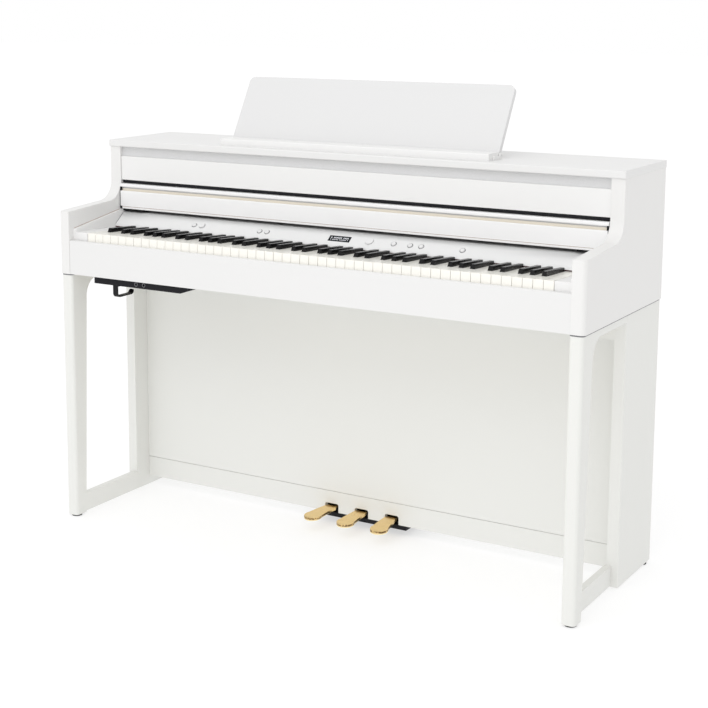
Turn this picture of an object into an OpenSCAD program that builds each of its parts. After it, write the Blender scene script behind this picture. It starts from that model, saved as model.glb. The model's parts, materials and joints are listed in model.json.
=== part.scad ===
// Home digital piano in an upright cabinet on a stand with three pedals.
// Origin: middle of the footprint, on the floor. X runs along the keyboard
// (bass at -X), the player sits at -Y, Z is up. Millimetres.

/* [Overall] */
// Depth from the front of the arms to the back
body_d = 468; // [440:1:520]
// Height of the stand, floor to the underside of the cabinet
stand_h = 627; // [560:1:680]
// Height of the cabinet, its underside to the top
body_h = 316; // [310:1:330]

/* [Cabinet] */
// Thickness of the side panels
side_t = 31; // [24:1:34]
// Thickness of the top board
top_t = 17; // [12:1:22]
// How far the top board stands over each side panel
top_over = 1.5; // [0:0.5:4]
// How far the top board stands ahead of the uprights
top_nose = 5; // [0:1:12]
// Distance from the back to the front edge of the uprights
upright_d = 259; // [240:1:270]
// Height of the arms at their front
arm_h = 155; // [145:1:162]
// Rise of the arm tops towards the back
arm_rise = 9; // [4:1:14]
// Radius of the sweep from arm to upright
arm_sweep_r = 50; // [30:1:60]
// Radius of the outer front corner of each arm
arm_corner_r = 12; // [4:1:20]
// Thickness of the back board
back_t = 5; // [3:1:8]
// Thickness of the keybed board
keybed_t = 18; // [12:1:24]

/* [Front boards] */
// Height of the cloth strip under the top board
grille_h = 24; // [16:1:30]
// Thickness of the cloth strip on its lath
grille_t = 4; // [3:1:8]
// How far the cloth strip lies behind the upper panel
grille_set = 5; // [2:1:9]
// Height of the upper front panel
upper_h = 61; // [50:1:70]
// Thickness of the upper front panel
upper_t = 14; // [10:1:18]
// How far the upper panel lies behind the uprights
upper_set = 3; // [1:1:8]
// Height of the key slip
slip_h = 84; // [78:1:90]
// Thickness of the key slip
slip_t = 16; // [12:1:20]
// How far the slip lies behind the arm fronts
slip_set = 1; // [0:0.5:3]

/* [Keyboard] */
// Distance between neighbouring white keys
key_pitch = 23.5; // [23:0.1:24]
// Width of the blocks between the keys and the arms
key_block_w = 44; // [40:1:60]
// Height of the resting keys' front edge above the cabinet underside
key_h = 104; // [100:1:108]
// Thickness of a key
key_t = 22; // [18:1:24]
// Length of the wide head of a white key
head_l = 48; // [44:1:52]
// Visible length of the white keys
key_show = 154; // [148:1:164]
// Distance from the key fronts to their pivot
pivot_l = 228; // [216:1:236]
// Travel of a key at its front
key_dip = 10; // [8:0.5:11]
// Width of a black key at its foot
black_w = 11; // [10:0.5:12]
// Width of a black key at its top
black_top_w = 9.2; // [8:0.2:9.8]
// Height of the black keys over the white ones
black_h = 10; // [9:0.5:12]
// Fall of the black keys' tops towards the back
black_fall = 2; // [0:0.5:3]
// Setback of a black key's sloping front at its top
black_nose = 5; // [3:1:8]
// Diameter of the shaft that the keys turn on
shaft_d = 8; // [6:0.5:10]

/* [Control panel] */
// Thickness of the control panel
panel_t = 4; // [3:0.5:5]
// Height of the panel's front lip
panel_lip_h = 7; // [5:0.5:9]
// Depth of the panel's sloping face
panel_slope_d = 34; // [30:1:36]
// Thickness of the felt under the lip
felt_t = 2.6; // [1.5:0.1:3]
// Diameter of a button
button_d = 11; // [8:0.5:12]
// How far a button stands proud
button_proud = 1.3; // [1:0.1:2]
// Diameter of the dished seat round a button
button_seat_d = 15; // [13:0.5:17]
// Diameter of the value dial
dial_d = 19; // [16:1:21]
// Diameter of the volume knob
knob_d = 15; // [13:1:16]
// Height of the dial and the knob over the panel
dial_h = 3; // [2:0.5:6]
// Length of the display
display_w = 58; // [50:1:64]
// Height of the display along the slope
display_h = 18; // [14:1:20]

/* [Lid] */
// Height of the lid's upright face
lid_face_h = 64; // [58:1:68]
// Thickness of the lid's face board
lid_face_t = 12; // [10:1:14]
// Thickness of the lid's sliding board
lid_board_t = 8; // [6:1:9]
// Depth of the sliding board
lid_board_d = 231; // [220:1:240]
// How far the open lid's face stands ahead of the uprights
lid_proud = 6; // [3:1:9]
// Height of the slot over the lid
lid_slot = 9; // [6:1:12]
// Gap between the open lid and the control panel
lid_sill = 8; // [5:1:10]
// Height of the finger groove
groove_h = 10; // [8:1:16]
// Depth of the finger groove
groove_d = 6; // [5:0.5:8]
// Thickness of the guides that the lid's ends slide on
cheek_t = 9; // [6:1:12]
// Length of the pads under the lid's ends
pad_l = 62; // [30:1:66]
// Thickness of those pads
pad_t = 4; // [3:0.5:5]
// Clearance of the closed lid over the white keys
lid_over_keys = 7; // [5:1:9]

/* [Music rest] */
// Width of the music rest
rest_w = 722; // [600:1:800]
// Length of the music rest board, pivot to top
rest_l = 174; // [150:1:178]
// Thickness of the music rest board
rest_t = 12; // [10:1:14]
// Lean of the raised board from upright
rest_lean = 30; // [25:1:33]
// Distance of the rest's pivot from the top board's front edge
rest_pivot_d = 85; // [80:1:87]
// Radius of the board's top corners
rest_corner_r = 15; // [8:1:24]
// Depth of the ledge
ledge_d = 50; // [40:1:52]
// Height of the ledge
ledge_h = 16; // [14:1:18]
// Diameter of the rest's hinge pins
pin_d = 5; // [4:0.5:6]
// Length of the folding strut
strut_l = 76; // [70:1:80]
// Width of the strut
strut_w = 40; // [30:1:60]
// Thickness of the strut
strut_t = 5; // [4:0.5:6]

/* [Stand] */
// Width of the front posts
post_w = 32; // [26:1:36]
// Depth of a post at its top
post_top_d = 56; // [48:1:64]
// Depth of a post at its foot
post_foot_d = 36; // [30:1:46]
// Radius of the bracket curve at the top of a post
bracket_r = 46; // [30:1:60]
// Radius of the post's front corners
post_corner_r = 9; // [3:1:12]
// How far the posts stand in from the side panels
stand_inset = 3; // [0:1:8]
// Thickness of the stand's rear boards
rear_t = 27; // [20:1:30]
// Depth of the stand's rear boards
rear_d = 212; // [190:1:230]
// Height of the floor rail
floor_rail_h = 46; // [30:1:60]
// Height of the floor rail over the floor
floor_rail_z = 8; // [6:1:16]
// Thickness of the floor rail
floor_rail_t = 16; // [12:1:24]
// Height of the upper side rail
side_rail_h = 18; // [14:1:30]
// Height of a foot
foot_h = 5; // [3:1:10]
// Diameter of a foot
foot_d = 26; // [18:1:30]
// Thickness of the lower back panel
lower_t = 15; // [10:1:18]
// How far the lower back panel lies behind the rear boards' front
lower_set = 53; // [40:1:60]
// Height of the pedal rail
pedal_rail_h = 54; // [48:1:70]
// Height of the pedal rail's underside over the floor
pedal_rail_z = 28; // [24:1:34]
// Height of the speaker box
speaker_box_h = 60; // [56:1:70]
// Wall of the speaker box
speaker_wall = 9; // [6:1:12]
// Diameter of a speaker's cone opening
speaker_d = 120; // [100:1:126]
// Distance of a speaker from the middle
speaker_x = 380; // [250:1:450]

/* [Pedals] */
// Distance between pedals
pedal_pitch = 85; // [80:1:95]
// Width of a pedal at its tip
pedal_tip_w = 44; // [36:1:46]
// Width of a pedal at its neck
pedal_neck_w = 30; // [24:1:32]
// Thickness of a pedal
pedal_t = 8; // [6:1:9]
// Reach of a pedal ahead of the rail
pedal_reach = 100; // [85:1:110]
// Droop of a pedal from its neck to its tip
pedal_droop = 5; // [2:1:8]
// Height of a pedal's middle over the floor
pedal_z = 41; // [39:1:43]
// Turn of the outer pedals away from the middle one
pedal_splay = 7; // [0:1:9]
// Travel of a pedal's tip
pedal_travel = 13; // [10:1:15]
// Diameter of the shaft that the pedals turn on
pedal_shaft_d = 10; // [8:1:10]
// Width of the pedal box
pedal_box_w = 250; // [240:1:300]
// Depth of the pedal box
pedal_box_d = 110; // [100:1:125]
// Height of the pedal box
pedal_box_h = 56; // [54:1:64]

/* [Jack box] */
// Width of the jack box along its top
jack_box_w = 310; // [280:1:330]
// How far the jack box's inner end slants in towards its underside
jack_box_slant = 50; // [10:1:60]
// Depth of the jack box
jack_box_d = 72; // [60:1:100]
// Height of the jack box
jack_box_h = 18; // [16:1:26]
// Distance of the jack box from the cabinet's bass end
jack_box_in = 97; // [80:1:140]
// Diameter of a headphone socket
phone_d = 6.5; // [6.4:0.05:6.8]
// Depth of a headphone socket
phone_depth = 30; // [20:1:40]
// Width of the headphone hook's strip
hook_w = 14; // [12:1:26]
// Thickness of the hook's strip
hook_t = 3; // [3:0.5:5]
// Drop of the hook under the jack box
hook_drop = 30; // [26:1:40]
// Depth of the hook
hook_l = 68; // [56:1:70]
// Length of the straight part of the hook's turned-up tip
hook_tip_l = 8; // [5:1:12]
// Slope of the hook's tip in degrees
hook_tip_turn = 45; // [30:1:60]
// Inner radius of the hook's bends
hook_r = 8; // [6:1:10]

/* [Fits] */
// Running clearance of parts that move past each other
run = 0.3; // [0.2:0.05:0.4]
// Gap between neighbouring keys
key_gap = 1; // [0.8:0.1:1.4]

/* [Hidden] */

white = "#f0f0ee";
stand_white = "#e6e7e3";
black = "#26262a";
brass = "#d9b25e";
steel = "#a8acb0";

// main planes
front_y = -body_d / 2;
rear_y = body_d / 2;
white_n = 52;
keys_w = white_n * key_pitch;
in_x = keys_w / 2 + key_gap + key_block_w;
side_x = in_x + side_t;
body_w = 2 * (side_x + top_over);
top_z = stand_h + body_h;
top_under = top_z - top_t;
upright_y = rear_y - upright_d;
top_front_y = upright_y - top_nose;
arm_z = stand_h + arm_h;
back_y = rear_y - back_t;

// front boards, from the top down
grille_z = top_under - grille_h;
upper_y = upright_y + upper_set;
upper_z = grille_z - upper_h;
lid_top = upper_z - lid_slot;
lid_z = lid_top - lid_face_h;
lid_y = upright_y - lid_proud;
panel_top = lid_z - lid_sill;

// keyboard
keys_x = -keys_w / 2;
slip_y = front_y + slip_set;
key_y = slip_y + slip_t + 1;
key_top = stand_h + key_h;
// the keys are drawn level, as they lie when pressed, and rest tilted up
key_flat = key_top - key_dip;
key_tilt = asin(key_dip / pivot_l);
key_z = key_flat - key_t;
pivot_y = key_y + pivot_l;
pivot_z = key_flat - key_t / 2;
tail_y = pivot_y + 13;
black_y = key_y + head_l + key_gap;
bed_z = stand_h + keybed_t;

function resting_top(y) = key_top - (y - key_y) * tan(key_tilt);

// control panel: front lip, slope, flat rear shelf
panel_y = key_y + key_show;
panel_lip_z = resting_top(panel_y) + run + felt_t;
slope_y = panel_y + 2;
slope_z = panel_lip_z + panel_lip_h;
slope_a = atan((panel_top - slope_z) / panel_slope_d);
slope_l = norm([panel_slope_d, panel_top - slope_z]);
slope_mid = slope_l * 0.42;
shelf_y = tail_y + 9;
black_end = panel_y - 4;

// the lid slides down towards the player, parallel to the tops of its guides
lid_run = lid_y - front_y;
lid_drop = lid_z - key_top - lid_over_keys;
slide_a = atan(lid_drop / lid_run);
lid_half = in_x - 1.2;
runner_w = 12;
runner_l = 14;
rail_w = 14;
rail_h = 9;
runner_y = lid_y + lid_board_d - runner_l;
runner_z = lid_top - lid_board_t - 10;

// music rest
rest_y = top_front_y + rest_pivot_d;
rest_z = top_z + rest_t / 2 + 1.8;
ear_t = 4;
strut_pivot = 70;
pocket_d = strut_t + 3;
strut_pin_d = 3.5;
// the strut leans so that its foot meets the top board
strut_off = rest_t / 2 - pocket_d / 2;
strut_py = rest_y + strut_pivot * sin(rest_lean) + strut_off * cos(rest_lean);
strut_pz = rest_z + strut_pivot * cos(rest_lean) - strut_off * sin(rest_lean);
strut_foot_r = strut_t / 2;
strut_a = asin((strut_pz - top_z - strut_foot_r - run) / (strut_l - strut_foot_r));

// stand
post_x = side_x - stand_inset;
post_y = front_y + 2;
rear_board_y = rear_y - rear_d;
rear_in_x = post_x - rear_t;
bracket_z = stand_h - side_rail_h - bracket_r;
lower_y = rear_board_y + lower_set;
lower_top = stand_h - speaker_box_h;
pedal_rail_top = pedal_rail_z + pedal_rail_h;
foot_inset = 22;

// pedals
pedal_tip_y = lower_y - pedal_reach;
pedal_box_y = lower_y + lower_t;
pedal_box_z = 17;
pedal_pivot_y = pedal_box_y + 62;
pedal_stop_y = pedal_box_y + 14;
pedal_fall = pedal_travel * (pedal_pivot_y - pedal_box_y) / (pedal_pivot_y - pedal_tip_y);
pedal_stop_z = pedal_z - pedal_t / 2 - pedal_fall - run;
notch_w = pedal_neck_w + 8;
notch_top = pedal_z + pedal_t / 2 + 5;

// jack box
jack_x = -side_x + jack_box_in;
jack_y = front_y + 14;
jack_z = stand_h - jack_box_h;
phone_x = [jack_x + 128, jack_x + 151];
hook_x = jack_x + 56;
hook_y = jack_y + 2;

e = 0.02;

// ---------- helpers ----------
module slab(x, y, z) translate([x[0], y[0], z[0]])
    cube([x[1] - x[0], y[1] - y[0], z[1] - z[0]]);

// a Y-Z profile drawn out from x[0] to x[1]
module across(x) translate([x[0], 0, 0]) rotate([90, 0, 90])
    linear_extrude(x[1] - x[0]) children();

// an X-Y plan drawn up from z[0] to z[1]
module upward(z) translate([0, 0, z[0]]) linear_extrude(z[1] - z[0]) children();

module rect(x, y) translate([x[0], y[0]]) square([x[1] - x[0], y[1] - y[0]]);

// removes the corner at p so that it becomes round; d points into the board
module corner_cut(p, r, d) difference() {
    rect([min(p[0] - d[0], p[0] + d[0] * r), max(p[0] - d[0], p[0] + d[0] * r)],
        [min(p[1] - d[1], p[1] + d[1] * r), max(p[1] - d[1], p[1] + d[1] * r)]);
    translate([p[0] + d[0] * r, p[1] + d[1] * r]) circle(r, $fn = 48);
}

module both_sides() {
    children();
    mirror([1, 0, 0]) children();
}

// a rod along X
module rod(x, y, z, d) translate([x[0], y, z]) rotate([0, 90, 0])
    cylinder(d = d, h = x[1] - x[0], $fn = 48);

// ---------- cabinet ----------
module side_profile() difference() {
    union() {
        rect([upright_y, rear_y], [stand_h, top_under]);
        polygon([[front_y, stand_h], [front_y, arm_z],
            [upright_y - arm_sweep_r, arm_z + arm_rise],
            [upright_y + 1, arm_z + arm_rise], [upright_y + 1, stand_h]]);
        difference() {
            rect([upright_y - arm_sweep_r, upright_y + 1],
                [arm_z + arm_rise - 1, arm_z + arm_rise + arm_sweep_r]);
            translate([upright_y - arm_sweep_r, arm_z + arm_rise + arm_sweep_r])
                circle(arm_sweep_r, $fn = 96);
        }
    }
    corner_cut([front_y, arm_z], 4, [1, -1]);
}

module side_panel() difference() {
    intersection() {
        across([in_x, side_x]) side_profile();
        upward([stand_h, top_under]) difference() {
            rect([in_x, side_x], [front_y, rear_y]);
            corner_cut([side_x, front_y], arm_corner_r, [-1, 1]);
        }
    }
    // holes for the stand's bolts
    bolt_spots() translate([0, 0, stand_h - e]) cylinder(d = bolt_d + 2 * run, h = bolt_up, $fn = 32);
}

bolt_d = 8;
bolt_up = 31;
bolt_down = 30;
module bolt_spots() {
    translate([post_x - rear_t / 2, post_y + post_top_d / 2, 0]) children();
    translate([post_x - rear_t / 2, rear_y - 60, 0]) children();
}

module side_panel_left() color(white) mirror([1, 0, 0]) side_panel();
module side_panel_right() color(white) side_panel();

module top_board() color(white) across([-body_w / 2, body_w / 2]) difference() {
    rect([top_front_y, rear_y], [top_under, top_z]);
    corner_cut([top_front_y, top_z], 3, [1, -1]);
    corner_cut([top_front_y, top_under], 3, [1, 1]);
}

module speaker_grille() color("#d5d3d7")
    slab([-in_x, in_x], [upper_y + grille_set, upper_y + grille_set + grille_t],
        [grille_z, top_under]);

module upper_front_panel() color(white) across([-in_x, in_x]) difference() {
    rect([upper_y, upper_y + upper_t], [upper_z, grille_z]);
    corner_cut([upper_y, upper_z], 2, [1, 1]);
    corner_cut([upper_y, grille_z], 1.5, [1, -1]);
}

module cabinet_back() color("#dcdcda") difference() {
    slab([-in_x, in_x], [back_y, rear_y], [stand_h, top_under]);
    back_screw_spots() screw_hole();
    translate([inlet_x, back_y, inlet_z]) rotate([90, 0, 0])
        cylinder(d = inlet_d + 2 * run, h = 40, center = true, $fn = 32);
}

// room for a screw with a sunk head, seen from its head
module screw_hole() rotate([90, 0, 0]) {
    cylinder(d = screw_d + 2 * run, h = screw_l + 1, $fn = 24);
    translate([0, 0, -1]) cylinder(d = screw_head_d + 2 * run, h = screw_head_t + 1, $fn = 32);
}

inlet_x = 60;
inlet_z = bed_z + 20;
inlet_d = 12;
screw_n = 6;
screw_pitch = 2 * (in_x - 56) / (screw_n - 1);
screw_d = 4;
screw_l = 22;
screw_head_d = 8;
screw_head_t = 2;
module back_screw_spots()
    for (i = [0 : screw_n - 1])
        translate([(i - (screw_n - 1) / 2) * screw_pitch, rear_y, stand_h + keybed_t / 2])
            children();

module keybed() color("#d8d4cc") difference() {
    slab([-in_x, in_x], [slip_y + slip_t, back_y], [stand_h, bed_z]);
    back_screw_spots() screw_hole();
}

module key_slip() color(white) across([-in_x, in_x]) difference() {
    rect([slip_y, slip_y + slip_t], [stand_h, stand_h + slip_h]);
    corner_cut([slip_y, stand_h + slip_h], 3, [1, -1]);
    corner_cut([slip_y + slip_t, stand_h + slip_h], 2, [-1, -1]);
}

// a block flush with the resting keys, and the lid's guide along the arm
module key_block() difference() {
    union() {
        across([keys_w / 2 + key_gap, in_x]) difference() {
            polygon([[key_y, bed_z], [shelf_y, bed_z], [shelf_y, resting_top(shelf_y)],
                [key_y, key_top]]);
            corner_cut([key_y, key_top], 2, [1, -1]);
        }
        across([in_x - cheek_t, in_x]) difference() {
            polygon([[key_y, bed_z + 1], [cheek_y, bed_z + 1], [cheek_y, cheek_top(cheek_y)],
                [key_y, cheek_top(key_y)]]);
            corner_cut([key_y, cheek_top(key_y)], 3, [1, -1]);
        }
    }
    rod([keys_w / 2 - 5, keys_w / 2 + 18], pivot_y, pivot_z, shaft_d + 2 * run);
}
cheek_y = lid_y + lid_face_t;
function cheek_top(y) = lid_z - run - (cheek_y - y) * tan(slide_a);

module key_blocks() color(white) both_sides() key_block();

// ---------- keys ----------
// place of a white key's note in the octave, 0 = C
function note(i) = (i + 5) % 7;
function white_x(i) = keys_x + i * key_pitch;
function has_black(i) = i >= 0 && i < white_n - 1 && note(i) != 2 && note(i) != 6;
// the black keys are spread so that all tails are about equally wide
black_shift = [-1 / 10, 1 / 10, 0, -1 / 7, 0, 1 / 7, 0];
function black_x(i) = white_x(i + 1) + black_shift[note(i)] * key_pitch;
function tail_left(i) = has_black(i - 1) ? black_x(i - 1) + black_w / 2 + key_gap
    : white_x(i) + key_gap / 2;
function tail_right(i) = has_black(i) ? black_x(i) - black_w / 2 - key_gap
    : white_x(i + 1) - key_gap / 2;

// turns a level key about its pivot until it rests
module at_rest() translate([0, pivot_y, pivot_z]) rotate([-key_tilt, 0, 0])
    translate([0, -pivot_y, -pivot_z]) children();

module white_key(i) at_rest() difference() {
    upward([key_z, key_flat]) union() {
        rect([white_x(i) + key_gap / 2, white_x(i + 1) - key_gap / 2], [key_y, key_y + head_l]);
        rect([tail_left(i), tail_right(i)], [key_y + 1, tail_y]);
    }
    rod([tail_left(i) - 1, tail_right(i) + 1], pivot_y, pivot_z, shaft_d + 2 * run);
}

module black_key(i) translate([black_x(i), 0, 0]) at_rest() difference() {
    union() {
        intersection() {
            across([-black_w / 2, black_w / 2]) polygon([[black_y, key_flat - 4],
                [black_y + 1, key_flat], [black_y + black_nose, key_flat + black_h],
                [black_end, key_flat + black_h - black_fall], [black_end, key_flat - 4]]);
            translate([0, black_end + 1, 0]) rotate([90, 0, 0])
                linear_extrude(black_end - black_y + 2) polygon([[-black_w / 2, key_flat - 5],
                    [-black_w / 2, key_flat], [-black_top_w / 2, key_flat + black_h + 1],
                    [black_top_w / 2, key_flat + black_h + 1], [black_w / 2, key_flat],
                    [black_w / 2, key_flat - 5]]);
        }
        slab([-black_w / 2, black_w / 2], [black_y, tail_y], [key_z, key_flat - 3.9]);
    }
    rod([-black_w, black_w], pivot_y, pivot_z, shaft_d + 2 * run);
}

module whites(first, last) color("#fbf9f2") for (i = [first : last]) white_key(i);
module blacks(first, last) color("#17171a")
    for (i = [first : last]) if (has_black(i)) black_key(i);

c4 = 23;
module bass_white_keys() whites(0, c4 - 1);
module bass_black_keys() blacks(0, c4 - 1);
module treble_white_keys() whites(c4 + 7, white_n - 1);
module treble_black_keys() blacks(c4 + 7, white_n - 1);
module key_c4() whites(c4, c4);
module key_c4_sharp() blacks(c4, c4);
module key_d4() whites(c4 + 1, c4 + 1);
module key_d4_sharp() blacks(c4 + 1, c4 + 1);
module key_e4() whites(c4 + 2, c4 + 2);
module key_f4() whites(c4 + 3, c4 + 3);
module key_f4_sharp() blacks(c4 + 3, c4 + 3);
module key_g4() whites(c4 + 4, c4 + 4);
module key_g4_sharp() blacks(c4 + 4, c4 + 4);
module key_a4() whites(c4 + 5, c4 + 5);
module key_a4_sharp() blacks(c4 + 5, c4 + 5);
module key_b4() whites(c4 + 6, c4 + 6);

// steel frame under the keys: base, front stop rail, rear upstand and the shaft
frame_t = 2;
stop_y = key_y + 22;
module key_frame() color(steel) {
    frame_half = keys_w / 2;
    stop_z = key_z - run;
    slab([-frame_half, frame_half], [slip_y + slip_t + run, shelf_y + frame_t], [bed_z, bed_z + frame_t]);
    slab([-frame_half, frame_half], [stop_y, stop_y + 14], [bed_z + frame_t, stop_z]);
    slab([-frame_half, frame_half], [shelf_y, shelf_y + frame_t], [bed_z + frame_t, panel_top - panel_t]);
    rod([-frame_half - 14, frame_half + 14], pivot_y, pivot_z, shaft_d);
}

// ---------- control panel ----------
// places children on the sloping face, at x along it and s up the slope
module on_slope(x, s) translate([x, slope_y, slope_z]) rotate([slope_a, 0, 0])
    translate([0, s, 0]) children();

power_x = -17.5 * key_pitch;
volume_x = -16.5 * key_pitch;
tone_x = [-9.3 * key_pitch, -8.4 * key_pitch];
display_x = 0.2 * key_pitch;
value_x = 3.6 * key_pitch;
song_x = 6.3 * key_pitch;
record_x = 8.1 * key_pitch;
play_x = 9.3 * key_pitch;
metronome_x = 13.7 * key_pitch;
button_x = [power_x, tone_x[0], tone_x[1], song_x, record_x, play_x, metronome_x];

module control_panel() color("#dfe0e1") difference() {
    across([-in_x, in_x]) polygon([[panel_y, panel_lip_z], [slope_y, slope_z],
        [slope_y + panel_slope_d, panel_top], [shelf_y + frame_t, panel_top],
        [shelf_y + frame_t, panel_top - panel_t],
        [slope_y + panel_slope_d + panel_t * tan(slope_a / 2), panel_top - panel_t],
        [slope_y + panel_t, slope_z - 1], [panel_y + panel_t, panel_lip_z]]);
    both_sides() across([in_x - cheek_t - run, in_x + 1]) polygon([[panel_y - 1, panel_lip_z - 1],
        [cheek_y + run, panel_lip_z - 1], [cheek_y + run, panel_top + 1], [panel_y - 1, panel_top + 1]]);
    for (x = button_x) on_slope(x, slope_mid) {
        cylinder(d = button_d + 2 * run, h = 30, center = true, $fn = 40);
        translate([0, 0, -0.8]) cylinder(d = button_seat_d, h = 5, $fn = 48);
    }
    on_slope(value_x, slope_mid) cylinder(d = dial_d + 2 * run, h = 30, center = true, $fn = 48);
    on_slope(volume_x, slope_mid) cylinder(d = knob_d + 2 * run, h = 30, center = true, $fn = 48);
    on_slope(display_x, slope_mid) {
        translate([-display_w / 2 - 0.1, -display_h / 2 - 0.1, -2])
            cube([display_w + 0.2, display_h + 0.2, 10]);
        translate([-display_w / 2 + 2, -display_h / 2 + 2, -9]) cube([display_w - 4, display_h - 4, 20]);
    }
}

module display_window() color("#101216") on_slope(display_x, slope_mid)
    translate([-display_w / 2, -display_h / 2, -2]) cube([display_w, display_h, 2.2]);

module panel_button(x) color("#ececec") on_slope(x, slope_mid) translate([0, 0, -5])
    cylinder(d = button_d, h = 5 + button_proud, $fn = 40);

module power_button() panel_button(power_x);
module tone_button_1() panel_button(tone_x[0]);
module tone_button_2() panel_button(tone_x[1]);
module song_button() panel_button(song_x);
module record_button() panel_button(record_x);
module play_button() panel_button(play_x);
module metronome_button() panel_button(metronome_x);

module turning_knob(x, d) color("#e8e8e8") on_slope(x, slope_mid) difference() {
    translate([0, 0, -5]) cylinder(d = d, h = 5 + dial_h, $fn = 64);
    translate([0, d / 2 - 2.5, dial_h - 0.5]) cylinder(d = 1.6, h = 2, $fn = 16);
}
module volume_knob() turning_knob(volume_x, knob_d);
module value_dial() turning_knob(value_x, dial_d);

module key_felt() color("#5e1420")
    slab([cheek_t + run - in_x, in_x - cheek_t - run], [panel_y, panel_y + panel_t],
        [panel_lip_z - felt_t, panel_lip_z]);

// ---------- lid ----------
module lid_board() color(white) {
    across([-lid_half, lid_half]) difference() {
        rect([lid_y, lid_y + lid_board_d], [lid_top - lid_board_t, lid_top]);
        corner_cut([lid_y, lid_top], 2.5, [1, -1]);
        corner_cut([lid_y, lid_top - lid_board_t], 1.5, [1, 1]);
    }
    // runners under the rear corners, their soles parallel to the rails
    both_sides() across([lid_half - runner_w, lid_half]) polygon([
        [runner_y, lid_top - lid_board_t], [runner_y + runner_l, lid_top - lid_board_t],
        [runner_y + runner_l, runner_z], [runner_y, runner_z - runner_l * tan(slide_a)]]);
}

module lid_front() color(white) {
    face_top = lid_top - lid_board_t;
    across([-lid_half, lid_half]) difference() {
        rect([lid_y, lid_y + lid_face_t], [lid_z, face_top]);
        rect([lid_y - 1, lid_y + groove_d], [face_top - groove_h, face_top + 1]);
        corner_cut([lid_y, face_top - groove_h], 2, [1, -1]);
        corner_cut([lid_y, lid_z], 1.5, [1, 1]);
    }
}

// soft pads under the lid's ends, inside its guides
module lid_pads() color(black) both_sides()
    slab([in_x - cheek_t - 1 - pad_l, in_x - cheek_t - 1], [lid_y + 1, lid_y + lid_face_t - 0.5],
        [lid_z - pad_t, lid_z]);

function rail_top(y) = runner_z - run - (runner_y + runner_l - y) * tan(slide_a);
module lid_rails() color(steel) both_sides() {
    rail_y = [cheek_y + 2, lid_y + lid_board_d + 6];
    across([in_x - rail_w, in_x]) polygon([
        [rail_y[0], rail_top(rail_y[0])], [rail_y[1], rail_top(rail_y[1])],
        [rail_y[1], rail_top(rail_y[1]) - rail_h], [rail_y[0], rail_top(rail_y[0]) - rail_h]]);
}

// ---------- music rest ----------
// the raised board's own frame: Y runs up the board, Z out of its front
module on_rest() translate([0, rest_y, rest_z]) rotate([90 - rest_lean, 0, 0]) children();

module music_rest() color("#e9e9ea") on_rest() difference() {
    union() {
        translate([0, 0, -rest_t / 2]) linear_extrude(rest_t) difference() {
            rect([-rest_w / 2, rest_w / 2], [0, rest_l]);
            corner_cut([-rest_w / 2, rest_l], rest_corner_r, [1, -1]);
            corner_cut([rest_w / 2, rest_l], rest_corner_r, [-1, -1]);
        }
        rod([-rest_w / 2, rest_w / 2], 0, 0, rest_t);
        rod([-rest_w / 2 - ear_t, rest_w / 2 + ear_t], 0, 0, pin_d);
    }
    // pocket for the strut, with its pin holes
    slab([-strut_w / 2 - 0.5, strut_w / 2 + 0.5], [strut_pivot - 11, strut_pivot + strut_l + 2],
        [-rest_t / 2 - 1, -rest_t / 2 + pocket_d]);
    rod([-strut_w / 2 - 8, strut_w / 2 + 8], strut_pivot, -strut_off, strut_pin_d + 0.4);
}

// drawn with its pivot at the origin and its foot along +Y
module rest_strut() color(steel) translate([0, strut_py, strut_pz]) rotate([-strut_a, 0, 0]) {
    difference() {
        slab([-strut_w / 2, strut_w / 2], [0, strut_l - strut_foot_r], [-strut_t / 2, strut_t / 2]);
        slab([-strut_w / 2 + 9, strut_w / 2 - 9], [12, strut_l - 14], [-strut_t, strut_t]);
    }
    rod([-strut_w / 2, strut_w / 2], 0, 0, strut_t);
    rod([-strut_w / 2, strut_w / 2], strut_l - strut_foot_r, 0, strut_t);
    rod([-strut_w / 2 - 7, strut_w / 2 + 7], 0, 0, strut_pin_d);
}

module rest_ledge() color(white) {
    back_top = rest_y - rest_t / 2 / cos(rest_lean) - run;
    difference() {
        across([-rest_w / 2, rest_w / 2]) difference() {
            polygon([[back_top - ledge_d, top_z], [back_top - ledge_d, top_z + ledge_h],
                [back_top + (top_z + ledge_h - rest_z) * tan(rest_lean), top_z + ledge_h],
                [back_top + (top_z - rest_z) * tan(rest_lean), top_z]]);
            corner_cut([back_top - ledge_d, top_z + ledge_h], 3, [1, -1]);
        }
        rod([-rest_w / 2 - 1, rest_w / 2 + 1], rest_y, rest_z, rest_t + 2 * run);
    }
    // ears that carry the rest's hinge pins
    both_sides() difference() {
        across([rest_w / 2 + run, rest_w / 2 + run + ear_t]) union() {
            rect([rest_y - ledge_d * 0.45, rest_y + rest_t / 2], [top_z, rest_z]);
            translate([rest_y, rest_z]) circle(rest_t / 2, $fn = 48);
        }
        rod([rest_w / 2 - 1, rest_w / 2 + 2 * ear_t], rest_y, rest_z, pin_d + 2 * run);
    }
    both_sides() slab([rest_w / 2 - 6, rest_w / 2 + run + ear_t],
        [rest_y - ledge_d * 0.75, rest_y - ledge_d * 0.4], [top_z, top_z + ledge_h * 0.6]);
}

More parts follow.
